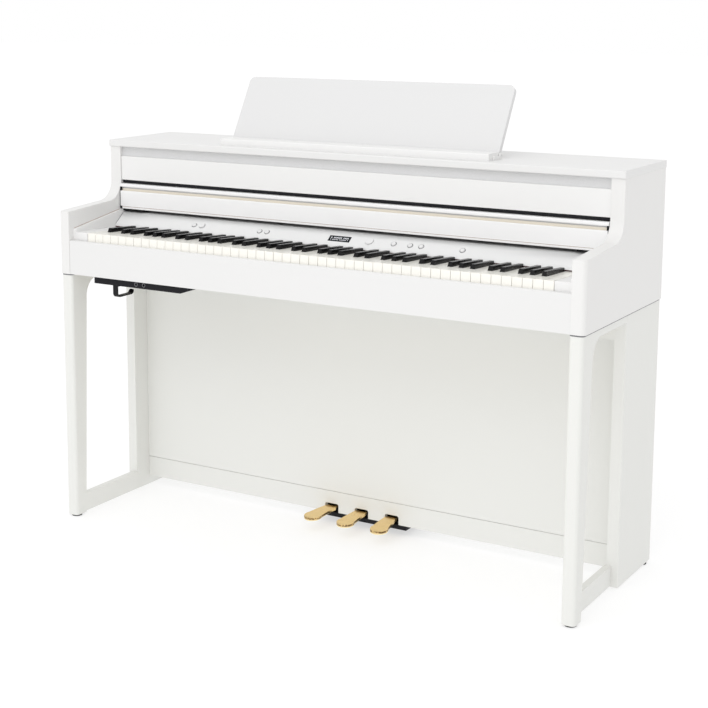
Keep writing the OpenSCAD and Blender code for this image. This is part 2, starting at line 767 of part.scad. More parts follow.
// ---------- stand ----------
module leg() {
    difference() {
        intersection() {
            across([post_x - post_w, post_x]) difference() {
                union() {
                    polygon([[post_y, foot_h], [post_y + post_foot_d, foot_h],
                        [post_y + post_top_d, bracket_z], [post_y + post_top_d, stand_h],
                        [post_y, stand_h]]);
                    rect([post_y, post_y + post_top_d + bracket_r],
                        [bracket_z, stand_h]);
                }
                translate([post_y + post_top_d + bracket_r, bracket_z])
                    circle(bracket_r, $fn = 96);
            }
            upward([0, stand_h]) difference() {
                rect([post_x - post_w, post_x], [post_y, post_y + post_top_d + bracket_r]);
                corner_cut([post_x, post_y], post_corner_r, [-1, 1]);
                corner_cut([post_x - post_w, post_y], post_corner_r, [1, 1]);
            }
        }
        bolt_spots() translate([0, 0, stand_h - bolt_down])
            cylinder(d = bolt_d + 2 * run, h = bolt_down + 1, $fn = 32);
    }
    // rails from the post to the rear board, near the floor and under the cabinet
    slab([post_x - post_w, post_x - post_w + floor_rail_t],
        [post_y + post_foot_d - 0.5, rear_board_y], [floor_rail_z, floor_rail_z + floor_rail_h]);
    slab([post_x - post_w, post_x], [post_y + post_top_d + bracket_r - 0.5, rear_board_y],
        [stand_h - side_rail_h, stand_h]);
}
module legs() color(stand_white) both_sides() leg();

module rear_board() difference() {
    intersection() {
        slab([rear_in_x, post_x], [rear_board_y, rear_y], [foot_h, stand_h]);
        upward([0, stand_h]) difference() {
            rect([rear_in_x, post_x], [rear_board_y, rear_y]);
            corner_cut([post_x, rear_board_y], 3, [-1, 1]);
        }
    }
    bolt_spots() translate([0, 0, stand_h - bolt_down])
        cylinder(d = bolt_d + 2 * run, h = bolt_down + 1, $fn = 32);
}
module rear_boards() color(stand_white) both_sides() rear_board();

module lower_back_panel() color(stand_white)
    slab([-rear_in_x, rear_in_x], [lower_y, lower_y + lower_t], [pedal_rail_top + 0.8, lower_top]);

module pedal_rail() color(stand_white) difference() {
    slab([-rear_in_x, rear_in_x], [lower_y, lower_y + lower_t], [pedal_rail_z, pedal_rail_top]);
    for (i = [-1 : 1]) translate([0, lower_y + lower_t + 1, 0]) rotate([90, 0, 0])
        linear_extrude(lower_t + 2) difference() {
            rect([i * pedal_pitch - notch_w / 2, i * pedal_pitch + notch_w / 2],
                [pedal_rail_z - 1, notch_top]);
            corner_cut([i * pedal_pitch - notch_w / 2, notch_top], 5, [1, -1]);
            corner_cut([i * pedal_pitch + notch_w / 2, notch_top], 5, [-1, -1]);
        }
}

// ---------- pedals ----------
pedal_wall = 3;
module pedal_box() color(black) {
    difference() {
        slab([-pedal_box_w / 2, pedal_box_w / 2], [pedal_box_y, pedal_box_y + pedal_box_d],
            [pedal_box_z, pedal_box_z + pedal_box_h]);
        slab([-pedal_box_w / 2 + pedal_wall, pedal_box_w / 2 - pedal_wall],
            [pedal_box_y + pedal_wall, pedal_box_y + pedal_box_d - pedal_wall],
            [pedal_box_z + pedal_wall, pedal_box_z + pedal_box_h - pedal_wall]);
        for (i = [-1 : 1]) slab([i * pedal_pitch - notch_w / 2, i * pedal_pitch + notch_w / 2],
            [pedal_box_y - 1, pedal_box_y + pedal_wall + 1], [pedal_rail_z, notch_top]);
        translate([0, pedal_box_y + pedal_box_d / 2, 0]) cylinder(d = 8 + 2 * run, h = 30, $fn = 32);
    }
    rod([-pedal_box_w / 2 + 1, pedal_box_w / 2 - 1], pedal_pivot_y, pedal_z, pedal_shaft_d);
    // bar that stops the pedals at the end of their travel
    slab([-pedal_box_w / 2 + 1, pedal_box_w / 2 - 1], [pedal_box_y + 1, pedal_stop_y],
        [pedal_box_z + 1, pedal_stop_z]);
    // base plate that reaches forward under the rail
    slab([-pedal_box_w / 2, pedal_box_w / 2], [lower_y + 1, pedal_box_y + 0.5],
        [pedal_box_z, pedal_rail_z - run]);
}

// a drooping brass spoon on a straight arm that turns on the shaft
module pedal(i) translate([i * pedal_pitch, 0, 0]) difference() {
    arm_w = pedal_neck_w - 4;
    union() {
        translate([0, neck_y, 0]) rotate([0, 0, i * pedal_splay]) intersection() {
            across([-pedal_tip_w, pedal_tip_w]) spoon_profile();
            upward([0, 2 * pedal_z]) spoon_plan();
        }
        slab([-arm_w / 2, arm_w / 2], [neck_y, pedal_pivot_y],
            [pedal_z - pedal_t / 2 + 1, pedal_z + pedal_t / 2 - 1]);
        rod([-arm_w / 2, arm_w / 2], pedal_pivot_y, pedal_z, pedal_shaft_d + 8);
    }
    rod([-arm_w, arm_w], pedal_pivot_y, pedal_z, pedal_shaft_d + 2 * run);
}

neck_y = lower_y - 12;
spoon_l = neck_y - pedal_tip_y;
spoon_root = 8;
spoon_bow_r = (spoon_l + spoon_root) ^ 2 / 2 / pedal_droop;
module spoon_profile() intersection() {
    translate([spoon_root, pedal_z - spoon_bow_r]) difference() {
        circle(spoon_bow_r + pedal_t / 2, $fn = 900);
        circle(spoon_bow_r - pedal_t / 2, $fn = 900);
    }
    rect([-2 * spoon_l, spoon_root], [0, 2 * pedal_z]);
}
module spoon_plan() {
    tip_r = pedal_tip_w / 2;
    polygon([[-pedal_neck_w / 2, spoon_root + 1], [pedal_neck_w / 2, spoon_root + 1],
        [tip_r - 1, tip_r - spoon_l - 3], [1 - tip_r, tip_r - spoon_l - 3]]);
    translate([0, tip_r - spoon_l]) circle(tip_r, $fn = 64);
}
module pedal_soft() color(brass) pedal(-1);
module pedal_sostenuto() color(brass) pedal(0);
module pedal_damper() color(brass) pedal(1);

// four fixed feet and the screw foot under the pedal box
module feet() color(black) {
    both_sides() {
        translate([post_x - post_w / 2, post_y + post_foot_d / 2, 0])
            cylinder(d = foot_d, h = foot_h, $fn = 48);
        translate([post_x - rear_t / 2, rear_y - foot_inset, 0])
            cylinder(d = foot_d, h = foot_h, $fn = 48);
    }
    translate([0, pedal_box_y + pedal_box_d / 2, 0]) {
        cylinder(d = 34, h = pedal_box_z - 2, $fn = 48);
        cylinder(d = 8, h = pedal_box_z + 12, $fn = 32);
    }
}

module bolts() color(steel) {
    both_sides() bolt_spots() translate([0, 0, stand_h - bolt_down + 1])
        cylinder(d = bolt_d, h = bolt_down + bolt_up - 3, $fn = 32);
    back_screw_spots() rotate([90, 0, 0]) {
        cylinder(d = screw_d, h = screw_l, $fn = 24);
        cylinder(d = screw_head_d, h = screw_head_t, $fn = 32);
    }
}

// ---------- inside ----------
module circuit_board() color("#2f6b45") {
    board_half = 150;
    board_d = 114;
    board_to_back = 16;
    post_in = 10;
    post_h = 8;
    board_top = bed_z + post_h + 1.6;
    board_y = [back_y - board_to_back - board_d, back_y - board_to_back];
    slab([-board_half, board_half], board_y, [bed_z + post_h, board_top]);
    for (x = [post_in - board_half, board_half - post_in], y = [board_y[0] + 8, board_y[1] - 8])
        translate([x, y, bed_z]) cylinder(d = 8, h = post_h, $fn = 24);
    // the processor and the sound chip: middle, side and height of each
    for (chip = [[-40, 40, 2.4], [34, 28, 1.9]])
        translate([chip[0], (board_y[0] + board_y[1]) / 2, board_top])
            linear_extrude(chip[2]) square(chip[1], center = true);
    // power inlet on the board's edge, reaching through the back board
    difference() {
        union() {
            slab([inlet_x - 8, inlet_x + 8], [board_y[1] - 10, back_y - run], [board_top, inlet_z + 8]);
            translate([inlet_x, rear_y, inlet_z]) rotate([90, 0, 0])
                cylinder(d = inlet_d, h = back_t + 2, $fn = 32);
        }
        translate([inlet_x, rear_y + 1, inlet_z]) rotate([90, 0, 0]) difference() {
            cylinder(d = 6, h = 12, $fn = 32);
            cylinder(d = 2, h = 12, $fn = 24);
        }
    }
}

speaker_y = lower_y + lower_t + 2 + speaker_d / 2;
module speaker_box() color(stand_white) difference() {
    slab([-rear_in_x, rear_in_x], [rear_board_y, rear_y - 2], [lower_top, stand_h]);
    slab([-rear_in_x + speaker_wall, rear_in_x - speaker_wall],
        [rear_board_y + speaker_wall, rear_y - 2 - speaker_wall],
        [lower_top + speaker_wall, stand_h + 1]);
    both_sides() translate([speaker_x, speaker_y, lower_top - 1])
        cylinder(d = speaker_d, h = speaker_wall + 2, $fn = 96);
}

module speakers() color("#202024") both_sides()
    translate([speaker_x, speaker_y, lower_top + speaker_wall])
        rotate_extrude($fn = 72) polygon([[0, 8], [16, 8], [speaker_d / 2 - 8, 0],
            [speaker_d / 2 + 7, 0], [speaker_d / 2 + 7, 4], [speaker_d / 2 - 4, 4],
            [magnet_r, 26], [magnet_r, speaker_box_h - speaker_wall - 7],
            [0, speaker_box_h - speaker_wall - 7]]);
magnet_r = 34;

// ---------- jack box ----------
module jack_box() color(black) difference() {
    translate([jack_x, jack_y + jack_box_d, 0]) rotate([90, 0, 0]) linear_extrude(jack_box_d)
        polygon([[0, jack_z], [0, stand_h], [jack_box_w, stand_h],
            [jack_box_w - jack_box_slant, jack_z]]);
    for (x = phone_x) translate([x, jack_y, jack_z + jack_box_h / 2]) rotate([-90, 0, 0]) {
        translate([0, 0, -1]) cylinder(d = phone_d, h = phone_depth + 1, $fn = 40);
        translate([0, 0, -1]) cylinder(d = phone_d + 4, h = 2.2, $fn = 40);
    }
}

// strip hook: flange, drop, bend, run to the back and a turned-up tip with a round end
module headphone_hook() color(black) intersection() {
    end_r = hook_w / 2 + 1;
    across([hook_x, hook_x + hook_w]) hook_profile();
    upward([jack_z - hook_drop - 1, jack_z + 1]) {
        rect([hook_x - 1, hook_x + hook_w + 1], [hook_y - 1, hook_y + hook_l - end_r]);
        translate([hook_x + hook_w / 2, hook_y + hook_l - end_r]) circle(end_r, $fn = 48);
    }
}

// one face of the strip from the flange to the tip, where r is the radius of its two bends
function hook_line(r) = let(
    bend = hook_r + hook_t,
    turn = hook_tip_turn,
    middle_z = jack_z - hook_drop + bend,
    front = [hook_y + bend, middle_z],
    rear = [hook_y + hook_l - bend * sin(turn) - hook_tip_l * cos(turn), middle_z]
) concat(
    [[front[0] - r, jack_z]],
    [for (i = [0:12]) front - r * [cos(7.5 * i), sin(7.5 * i)]],
    [for (i = [0:6]) rear + r * [sin(turn * i / 6), -cos(turn * i / 6)]],
    [rear + r * [sin(turn), -cos(turn)] + hook_tip_l * [cos(turn), sin(turn)]]);

module hook_profile() {
    outer = hook_line(hook_r + hook_t);
    inner = hook_line(hook_r);
    polygon(concat(outer, [for (i = [len(inner) - 1:-1:0]) inner[i]]));
    rect([hook_y, hook_y + 26], [jack_z - hook_t, jack_z]);
}

side_panel_left();
side_panel_right();
top_board();
speaker_grille();
upper_front_panel();
cabinet_back();
keybed();
key_slip();
key_blocks();
control_panel();
display_window();
key_felt();
key_frame();
circuit_board();
speaker_box();
speakers();
lid_rails();
jack_box();
headphone_hook();
rest_ledge();
legs();
rear_boards();
lower_back_panel();
pedal_rail();
pedal_box();
feet();
bolts();
lid_board();
lid_front();
lid_pads();
music_rest();
rest_strut();
pedal_soft();
pedal_sostenuto();
pedal_damper();
power_button();
volume_knob();
tone_button_1();
tone_button_2();
value_dial();
song_button();
record_button();
play_button();
metronome_button();
bass_white_keys();
bass_black_keys();
treble_white_keys();
treble_black_keys();
key_c4();
key_c4_sharp();
key_d4();
key_d4_sharp();
key_e4();
key_f4();
key_f4_sharp();
key_g4();
key_g4_sharp();
key_a4();
key_a4_sharp();
key_b4();
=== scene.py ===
# %% [markdown]
# A home digital piano in a white upright cabinet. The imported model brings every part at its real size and
# place, with the joints that move it. This script dresses it: softened edges, lacquer, cloth, brass, light.
# Everything is in metres, X runs along the keyboard to the treble, the player sits at -Y, and Z is up.

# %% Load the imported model
import json
import math

import bmesh
import bpy
from mathutils import Matrix, Vector


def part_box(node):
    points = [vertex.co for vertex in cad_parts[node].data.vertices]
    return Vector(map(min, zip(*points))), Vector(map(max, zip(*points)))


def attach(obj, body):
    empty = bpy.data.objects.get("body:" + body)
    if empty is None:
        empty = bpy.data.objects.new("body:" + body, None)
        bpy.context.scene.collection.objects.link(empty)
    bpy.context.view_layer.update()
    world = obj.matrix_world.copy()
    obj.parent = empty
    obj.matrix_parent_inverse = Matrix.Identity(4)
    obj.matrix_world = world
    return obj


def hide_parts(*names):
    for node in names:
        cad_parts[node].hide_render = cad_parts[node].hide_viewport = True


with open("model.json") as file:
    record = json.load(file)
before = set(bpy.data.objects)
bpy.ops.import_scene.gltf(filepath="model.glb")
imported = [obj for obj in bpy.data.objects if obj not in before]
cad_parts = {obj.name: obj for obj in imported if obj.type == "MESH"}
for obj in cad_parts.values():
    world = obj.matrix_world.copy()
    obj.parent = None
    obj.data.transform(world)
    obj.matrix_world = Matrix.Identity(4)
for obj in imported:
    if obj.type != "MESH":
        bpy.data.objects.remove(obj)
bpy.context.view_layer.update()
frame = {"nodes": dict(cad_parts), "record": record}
BEHAVIOUR = frame["record"]["behaviour"]
BODY_OF = {node: body for body, nodes in BEHAVIOUR["bodies"].items() for node in nodes}
SLOT_OF = {part["node"]: part["material_slot"] for part in frame["record"]["subparts"]}
MM = 0.001
HAIR = 0.01 * MM


def into_scene(thing):
    bpy.context.scene.collection.objects.link(thing)
    return thing


# %% [markdown]
# The camera comes first, because every look is judged through it. It stands to the right of the player's
# side and a little above the cabinet, looks down by less than ten degrees, and uses a long lens, so that
# the uprights stay nearly parallel, as in a catalogue picture.

# %% Camera
CAMERA_PLACE = (1.7978, -3.1263, 1.3058)
CAMERA_TURN = math.radians(31.79)
CAMERA_DOWN = math.radians(9.54)
LENS = 78.47
SENSOR_WIDTH = 36
SHIFT_X = 0.08
SHIFT_Y = -0.14
camera = into_scene(bpy.data.objects.new("camera", bpy.data.cameras.new("camera")))
camera.location = CAMERA_PLACE
camera.rotation_euler = (math.pi / 2 - CAMERA_DOWN, 0, CAMERA_TURN)
camera.data.lens = LENS
camera.data.sensor_width = SENSOR_WIDTH
camera.data.shift_x = SHIFT_X
camera.data.shift_y = SHIFT_Y
bpy.context.scene.camera = camera
print("camera stands", round(camera.location.length, 2), "m from the origin, lens", LENS, "mm")

# %% [markdown]
# A white object on a white ground shows its form only through small differences of light. So the room
# itself is an even white that gives most of the light. It is a little darker on the treble side, as a
# studio is where no lamp stands, and this sets the side panel off from the front.

# %% Room
TREBLE_START = 0.2
TREBLE_LIGHT = 0.76
world = bpy.data.worlds.new("studio")
world.use_nodes = True
room = world.node_tree
background = room.nodes["Background"]
background.inputs["Color"].default_value = (1, 1, 1, 1)
direction = room.nodes.new("ShaderNodeTexCoord")
split = room.nodes.new("ShaderNodeSeparateXYZ")
darker = room.nodes.new("ShaderNodeMapRange")
darker.inputs["From Min"].default_value = TREBLE_START
darker.inputs["To Min"].default_value = 1
darker.inputs["To Max"].default_value = TREBLE_LIGHT
room.links.new(direction.outputs["Generated"], split.inputs["Vector"])
room.links.new(split.outputs["X"], darker.inputs["Value"])
room.links.new(darker.outputs["Result"], background.inputs["Strength"])
bpy.context.scene.world = world
bpy.context.scene.view_settings.view_transform = "Standard"
print("room light: 1 at the bass side,", TREBLE_LIGHT, "at the treble side")

# %% [markdown]
# Two large, weak lamps add the difference. The front lamp lifts the fronts over the side panels. It stands
# low and towards the treble end, so that the fronts grow a little lighter to the right. The sky lamp hangs
# high in front of the keyboard and reaches into the recess under the lid, which an even room alone leaves
# grey. Strong lamps would burn the white lacquer out, and no edge of a board would be left to see.

# %% Lamps
MIDDLE = Vector((0, 0, 0.55))


def soft_lamp(name, place, size, power):
    """A round area lamp that points at the middle of the cabinet."""
    lamp = into_scene(bpy.data.objects.new(name, bpy.data.lights.new(name, "AREA")))
    lamp.data.shape = "DISK"
    lamp.data.size = size
    lamp.data.energy = power
    lamp.location = place
    lamp.rotation_euler = (MIDDLE - Vector(place)).to_track_quat("-Z", "Y").to_euler()
    print(name, "at", place, "with", power, "W")


soft_lamp("front_lamp", (0.9, -3.6, 0.9), size=2.2, power=8)
soft_lamp("sky_lamp", (0.2, -2.2, 3.2), size=2.4, power=17)

# %% [markdown]
# The floor is a plain pale sheet, lit a little from below like a shooting table, so that the piano stands on
# white with only a faint shadow. It belongs to the studio and not to the piano.

# %% Floor
FLOOR_WIDTH = 60
FLOOR_TONE = 0.45
FLOOR_GLOW = 0.58
bpy.ops.mesh.primitive_plane_add(size=FLOOR_WIDTH, location=(0, 0, 0))
floor = bpy.context.object
floor.name = "floor"
floor_paint = bpy.data.materials.new("floor_paint")
floor_paint.use_nodes = True
floor_shader = floor_paint.node_tree.nodes["Principled BSDF"]
floor_shader.inputs["Base Color"].default_value = (FLOOR_TONE, FLOOR_TONE, FLOOR_TONE, 1)
floor_shader.inputs["Emission Color"].default_value = (1, 1, 1, 1)
floor_shader.inputs["Emission Strength"].default_value = FLOOR_GLOW
floor_shader.inputs["Roughness"].default_value = 0.9
floor_shader.inputs["Specular IOR Level"].default_value = 0.1
floor.data.materials.append(floor_paint)
print("floor:", FLOOR_WIDTH, "m wide, at height", floor.location.z)

# %% [markdown]
# Finishes share three effects, each built once as a node group. `tone_drift` moves a colour a little over
# the surface, because no coat is one flat colour. `fine_grain` is a small-scale relief, stretched along one
# direction for grain or brushing, and even for lacquer. `handling` is a soft mask of polish and dust.
# They read Object coordinates, so a pattern keeps its real size on every part.

# %% Helpers for node groups
def new_group(name, inputs, outputs):
    group = bpy.data.node_groups.new(name, "ShaderNodeTree")
    for label, kind, value in inputs:
        socket = group.interface.new_socket(label, in_out="INPUT", socket_type=kind)
        socket.default_value = value
    for label, kind in outputs:
        group.interface.new_socket(label, in_out="OUTPUT", socket_type=kind)
    print("effect", name, "with inputs", [label for label, kind, value in inputs])
    return group, group.nodes.new("NodeGroupInput"), group.nodes.new("NodeGroupOutput")


def object_place(tree):
    return tree.nodes.new("ShaderNodeTexCoord").outputs["Object"]


# %% Effect: tone drift
drift, source, sink = new_group(
    "tone_drift",
    [("Colour", "NodeSocketColor", (0.8, 0.8, 0.8, 1)), ("Other", "NodeSocketColor", (0.7, 0.7, 0.7, 1)),
     ("Scale", "NodeSocketFloat", 3.0), ("Amount", "NodeSocketFloat", 0.5)],
    [("Colour", "NodeSocketColor")])
cloud = drift.nodes.new("ShaderNodeTexNoise")
cloud.inputs["Detail"].default_value = 3
share = drift.nodes.new("ShaderNodeMath")
share.operation = "MULTIPLY"
blend = drift.nodes.new("ShaderNodeMix")
blend.data_type = "RGBA"
drift.links.new(object_place(drift), cloud.inputs["Vector"])
drift.links.new(source.outputs["Scale"], cloud.inputs["Scale"])
drift.links.new(cloud.outputs["Fac"], share.inputs[0])
drift.links.new(source.outputs["Amount"], share.inputs[1])
drift.links.new(share.outputs[0], blend.inputs["Factor"])
drift.links.new(source.outputs["Colour"], blend.inputs["A"])
drift.links.new(source.outputs["Other"], blend.inputs["B"])
drift.links.new(blend.outputs["Result"], sink.inputs["Colour"])

# %% Effect: fine grain
grain, source, sink = new_group(
    "fine_grain",
    [("Stretch", "NodeSocketVector", (1, 1, 1)), ("Scale", "NodeSocketFloat", 800.0),
     ("Low", "NodeSocketFloat", 0.4), ("High", "NodeSocketFloat", 0.6)],
    [("Height", "NodeSocketFloat"), ("Rough", "NodeSocketFloat")])
spread = grain.nodes.new("ShaderNodeVectorMath")
spread.operation = "MULTIPLY"
speckle = grain.nodes.new("ShaderNodeTexNoise")
speckle.inputs["Detail"].default_value = 4
speckle.inputs["Roughness"].default_value = 0.6
ranged = grain.nodes.new("ShaderNodeMapRange")
grain.links.new(object_place(grain), spread.inputs[0])
grain.links.new(source.outputs["Stretch"], spread.inputs[1])
grain.links.new(spread.outputs[0], speckle.inputs["Vector"])
grain.links.new(source.outputs["Scale"], speckle.inputs["Scale"])
grain.links.new(speckle.outputs["Fac"], sink.inputs["Height"])
grain.links.new(speckle.outputs["Fac"], ranged.inputs["Value"])
grain.links.new(source.outputs["Low"], ranged.inputs["To Min"])
grain.links.new(source.outputs["High"], ranged.inputs["To Max"])
grain.links.new(ranged.outputs["Result"], sink.inputs["Rough"])

# %% Effect: handling marks
handling, source, sink = new_group(
    "handling",
    [("Scale", "NodeSocketFloat", 30.0), ("Cover", "NodeSocketFloat", 0.5)],
    [("Mask", "NodeSocketFloat")])
smear = handling.nodes.new("ShaderNodeTexNoise")
smear.inputs["Detail"].default_value = 6
smear.inputs["Distortion"].default_value = 0.6
cut = handling.nodes.new("ShaderNodeMapRange")
cut.interpolation_type = "SMOOTHSTEP"
cut.inputs["From Max"].default_value = 0.8
handling.links.new(object_place(handling), smear.inputs["Vector"])
handling.links.new(source.outputs["Scale"], smear.inputs["Scale"])
handling.links.new(smear.outputs["Fac"], cut.inputs["Value"])
handling.links.new(source.outputs["Cover"], cut.inputs["From Min"])
handling.links.new(cut.outputs["Result"], sink.inputs["Mask"])

# %% [markdown]
# Most finishes differ only in a few numbers: two close colours, how rough, how deep the relief in
# millimetres, and which way it runs. One function builds them all from the three effects. Values that are
# the same all over the surface, such as coat roughness, are set on the shader itself.

# %% The finish maker
FINISHES = {}
DRIFT_AMOUNT = 0.6
ROUGH_SPREAD = 0.05


def effect(tree, group, values):
    """Places one of the effects in a material and sets its inputs."""
    node = tree.nodes.new("ShaderNodeGroup")
    node.node_tree = group
    for label, value in values.items():
        node.inputs[label].default_value = value
    return node


def finish(name, colour, other, rough, relief, scale, stretch=(1, 1, 1), drift_scale=3.0, metal=0.0,
           coat=0.0, coat_rough=0.2, specular=0.5, marks=0.04, sheen=0.0):
    """Builds one material and keeps it under its name."""
    material = bpy.data.materials.new(name)
    material.use_nodes = True
    tree = material.node_tree
    shader = tree.nodes["Principled BSDF"]
    for label, value in (("Metallic", metal), ("Coat Weight", coat), ("Coat Roughness", coat_rough),
                         ("Specular IOR Level", specular), ("Sheen Weight", sheen)):
        shader.inputs[label].default_value = value
    tone = effect(tree, drift, {"Colour": (*colour, 1), "Other": (*other, 1), "Scale": drift_scale,
                                "Amount": DRIFT_AMOUNT})
    tree.links.new(tone.outputs["Colour"], shader.inputs["Base Color"])
    fine = effect(tree, grain, {"Stretch": stretch, "Scale": scale, "Low": rough - ROUGH_SPREAD,
                                "High": rough + ROUGH_SPREAD})
    touched = effect(tree, handling, {})
    gain = tree.nodes.new("ShaderNodeMath")
    gain.operation = "MULTIPLY_ADD"
    gain.inputs[1].default_value = marks
    tree.links.new(touched.outputs["Mask"], gain.inputs[0])
    tree.links.new(fine.outputs["Rough"], gain.inputs[2])
    tree.links.new(gain.outputs[0], shader.inputs["Roughness"])
    bump = tree.nodes.new("ShaderNodeBump")
    bump.inputs["Strength"].default_value = 1
    bump.inputs["Distance"].default_value = relief * MM
    tree.links.new(fine.outputs["Height"], bump.inputs["Height"])
    tree.links.new(bump.outputs["Normal"], shader.inputs["Normal"])
    FINISHES[name] = material


# %% [markdown]
# The cabinet is lacquered board: a warm satin white with a barely visible orange-peel skin. Its boards share
# one lacquer, but several get a lighter or darker copy of it, which paints light and shade into their colour.
# The lid and the upper panel are the lightest, and the music rest is the darkest. The stand's paint is a
# little rougher and leans to yellow.

# %% White lacquers
PATCH_DARKER = 0.02


def lacquer(name, colour, rough=0.42, relief=0.010):
    darker_patch = [channel - PATCH_DARKER for channel in colour]
    finish(name, colour, darker_patch, rough, relief, 700, specular=0.3)


lacquer("satin_white", (0.785, 0.782, 0.777))
# Lighter and darker copies of the satin white: painted light on the lid, the upper panel and the side panels,
# painted shade on the music rest.
lacquer("lid_white_painted_light", (0.92, 0.918, 0.92), rough=0.40, relief=0.008)
lacquer("upper_white_painted_light", (0.84, 0.837, 0.831))
lacquer("side_white_painted_light", (0.805, 0.80, 0.79))
lacquer("rest_white_painted_shade", (0.735, 0.734, 0.734))
lacquer("stand_white", (0.80, 0.802, 0.775), rough=0.48, relief=0.012)
print("white lacquers:", len(FINISHES))

# %% [markdown]
# The other finishes follow: bare board, the silver paint of the control panel, the ivory tone and the black
# of the keys, felt, metals, plastics, and the thin lines of the trim. Each line gives two colours, the
# roughness, the relief in millimetres and the scale of the grain, which runs along each part's length.

# %% Other finishes
finish("bare_board", (0.70, 0.66, 0.58), (0.62, 0.58, 0.50), 0.7, 0.05, 500)
finish("panel_silver", (0.865, 0.867, 0.865), (0.805, 0.807, 0.805), 0.42, 0.004, 5000, metal=0.1,
       specular=0.3)
finish("button_white", (0.83, 0.83, 0.83), (0.80, 0.80, 0.80), 0.35, 0.006, 1500, drift_scale=40)
finish("key_white", (0.93, 0.915, 0.86), (0.905, 0.885, 0.82), 0.30, 0.01, 900, (1, 0.12, 1),
       drift_scale=14, coat=0.25, coat_rough=0.15)
finish("key_black", (0.0015, 0.0015, 0.002), (0.004, 0.004, 0.005), 0.25, 0.012, 900, (1, 0.1, 1),
       specular=0.24)
finish("felt", (0.06, 0.008, 0.012), (0.035, 0.005, 0.008), 0.95, 0.25, 2500, drift_scale=200, sheen=0.2)
finish("steel", (0.55, 0.56, 0.58), (0.48, 0.49, 0.51), 0.38, 0.01, 900, (0.1, 1, 1), metal=1.0)
finish("board_green", (0.03, 0.14, 0.06), (0.02, 0.10, 0.04), 0.4, 0.01, 1200)
finish("speaker_black", (0.02, 0.02, 0.022), (0.03, 0.03, 0.03), 0.7, 0.06, 1500)
finish("case_black", (0.010, 0.010, 0.013), (0.006, 0.006, 0.008), 0.55, 0.04, 1800, specular=0.2)
finish("black_steel", (0.006, 0.006, 0.007), (0.010, 0.010, 0.012), 0.4, 0.015, 1200, specular=0.2)
finish("pedal_brass", (0.95, 0.71, 0.34), (0.88, 0.63, 0.27), 0.22, 0.006, 700, (1, 0.08, 1),
       drift_scale=25, metal=1.0, marks=0.12)
finish("mark_line", (0.55, 0.47, 0.42), (0.50, 0.43, 0.38), 0.5, 0.005, 900)
finish("dark_ring", (0.20, 0.20, 0.21), (0.15, 0.15, 0.16), 0.4, 0.005, 1500, drift_scale=60)
finish("shade_ring", (0.48, 0.48, 0.49), (0.42, 0.42, 0.43), 0.4, 0.005, 1500, drift_scale=60)
finish("lit_mark", (0.95, 0.97, 0.99), (0.86, 0.90, 0.94), 0.4, 0.002, 900, drift_scale=90)
finish("foot_rubber", (0.004, 0.004, 0.004), (0.007, 0.007, 0.007), 0.8, 0.05, 1200, specular=0.1)
finish("cream_groove_shade", (0.80, 0.745, 0.65), (0.76, 0.705, 0.61), 0.42, 0.01, 900)
finish("display_black", (0.006, 0.008, 0.012), (0.010, 0.012, 0.016), 0.3, 0.001, 500, specular=0.15)
print("finishes:", len(FINISHES))

# %% [markdown]
# A pedal's nose is a round of polished brass, and its reflections are painted into its colour. The upper round
# of the nose is darker and speckled, a painted reflection of dark surroundings. The underside of the round is
# paler, a painted reflection of the floor. Height over the pedal's own sloping underside picks the two bands:
# a Vector Math dot product with the slope's direction gives that height. Each pair of numbers says where a
# band's soft border starts and ends.

# %% Helpers for masks
def soft_step(tree, value, border, before, after, base=0.0):
    """A smooth step from one value to another across a border above the base."""
    step = tree.nodes.new("ShaderNodeMapRange")
    step.interpolation_type = "SMOOTHSTEP"
    for label, number in (("From Min", base + border[0]), ("From Max", base + border[1]),
                          ("To Min", before), ("To Max", after)):
        step.inputs[label].default_value = number
    tree.links.new(value, step.inputs["Value"])
    return step.outputs["Result"]


def times(tree, first, second):
    product = tree.nodes.new("ShaderNodeMath")
    product.operation = "MULTIPLY"
    tree.links.new(first, product.inputs[0])
    tree.links.new(second, product.inputs[1])
    return product.outputs[0]


def paint_over(tree, shader, mask, colour):
    """Mixes one more colour over the shader's base colour where the mask is 1."""
    mix = tree.nodes.new("ShaderNodeMix")
    mix.data_type = "RGBA"
    below = shader.inputs["Base Color"].links[0].from_socket
    tree.links.new(mask, mix.inputs["Factor"])
    tree.links.new(below, mix.inputs["A"])
    mix.inputs["B"].default_value = (*colour, 1)
    tree.links.new(mix.outputs["Result"], shader.inputs["Base Color"])


# %% Brass with painted reflections on its nose
NOSE_SLOPE = 0.066
NOSE_FOOT = 33.7 * MM
NOSE_BACK = (36 * MM, 42 * MM)
FLOOR_REFLECTION_TOP = (2.2 * MM, 3.2 * MM)
DARK_REFLECTION_FOOT = (2.8 * MM, 3.8 * MM)
DARK_REFLECTION_TOP = (7.2 * MM, 8.4 * MM)
SPECKLE_SCALE = 260
SPECKLE_BORDER = (0.42, 0.52)
BETWEEN_SPECKLES_SHARE = 0.15
# Painted reflections: the pale floor under the nose, and the dark surroundings on its upper round.
FLOOR_REFLECTION_BRASS = (0.97, 0.86, 0.58)
DARK_REFLECTION_BRASS = (0.14, 0.075, 0.03)
brass = FINISHES["pedal_brass"].node_tree
brass_shader = brass.nodes["Principled BSDF"]
place = object_place(brass)
height = brass.nodes.new("ShaderNodeVectorMath")
height.operation = "DOT_PRODUCT"
height.inputs[1].default_value = (0, -NOSE_SLOPE, 1)
brass.links.new(place, height.inputs[0])
over_foot = height.outputs["Value"]
reach = brass.nodes.new("ShaderNodeSeparateXYZ")
brass.links.new(place, reach.inputs["Vector"])
on_nose = soft_step(brass, reach.outputs["Y"], NOSE_BACK, 1, 0)
under_round = soft_step(brass, over_foot, FLOOR_REFLECTION_TOP, 1, 0, NOSE_FOOT)
paint_over(brass, brass_shader, times(brass, under_round, on_nose), FLOOR_REFLECTION_BRASS)
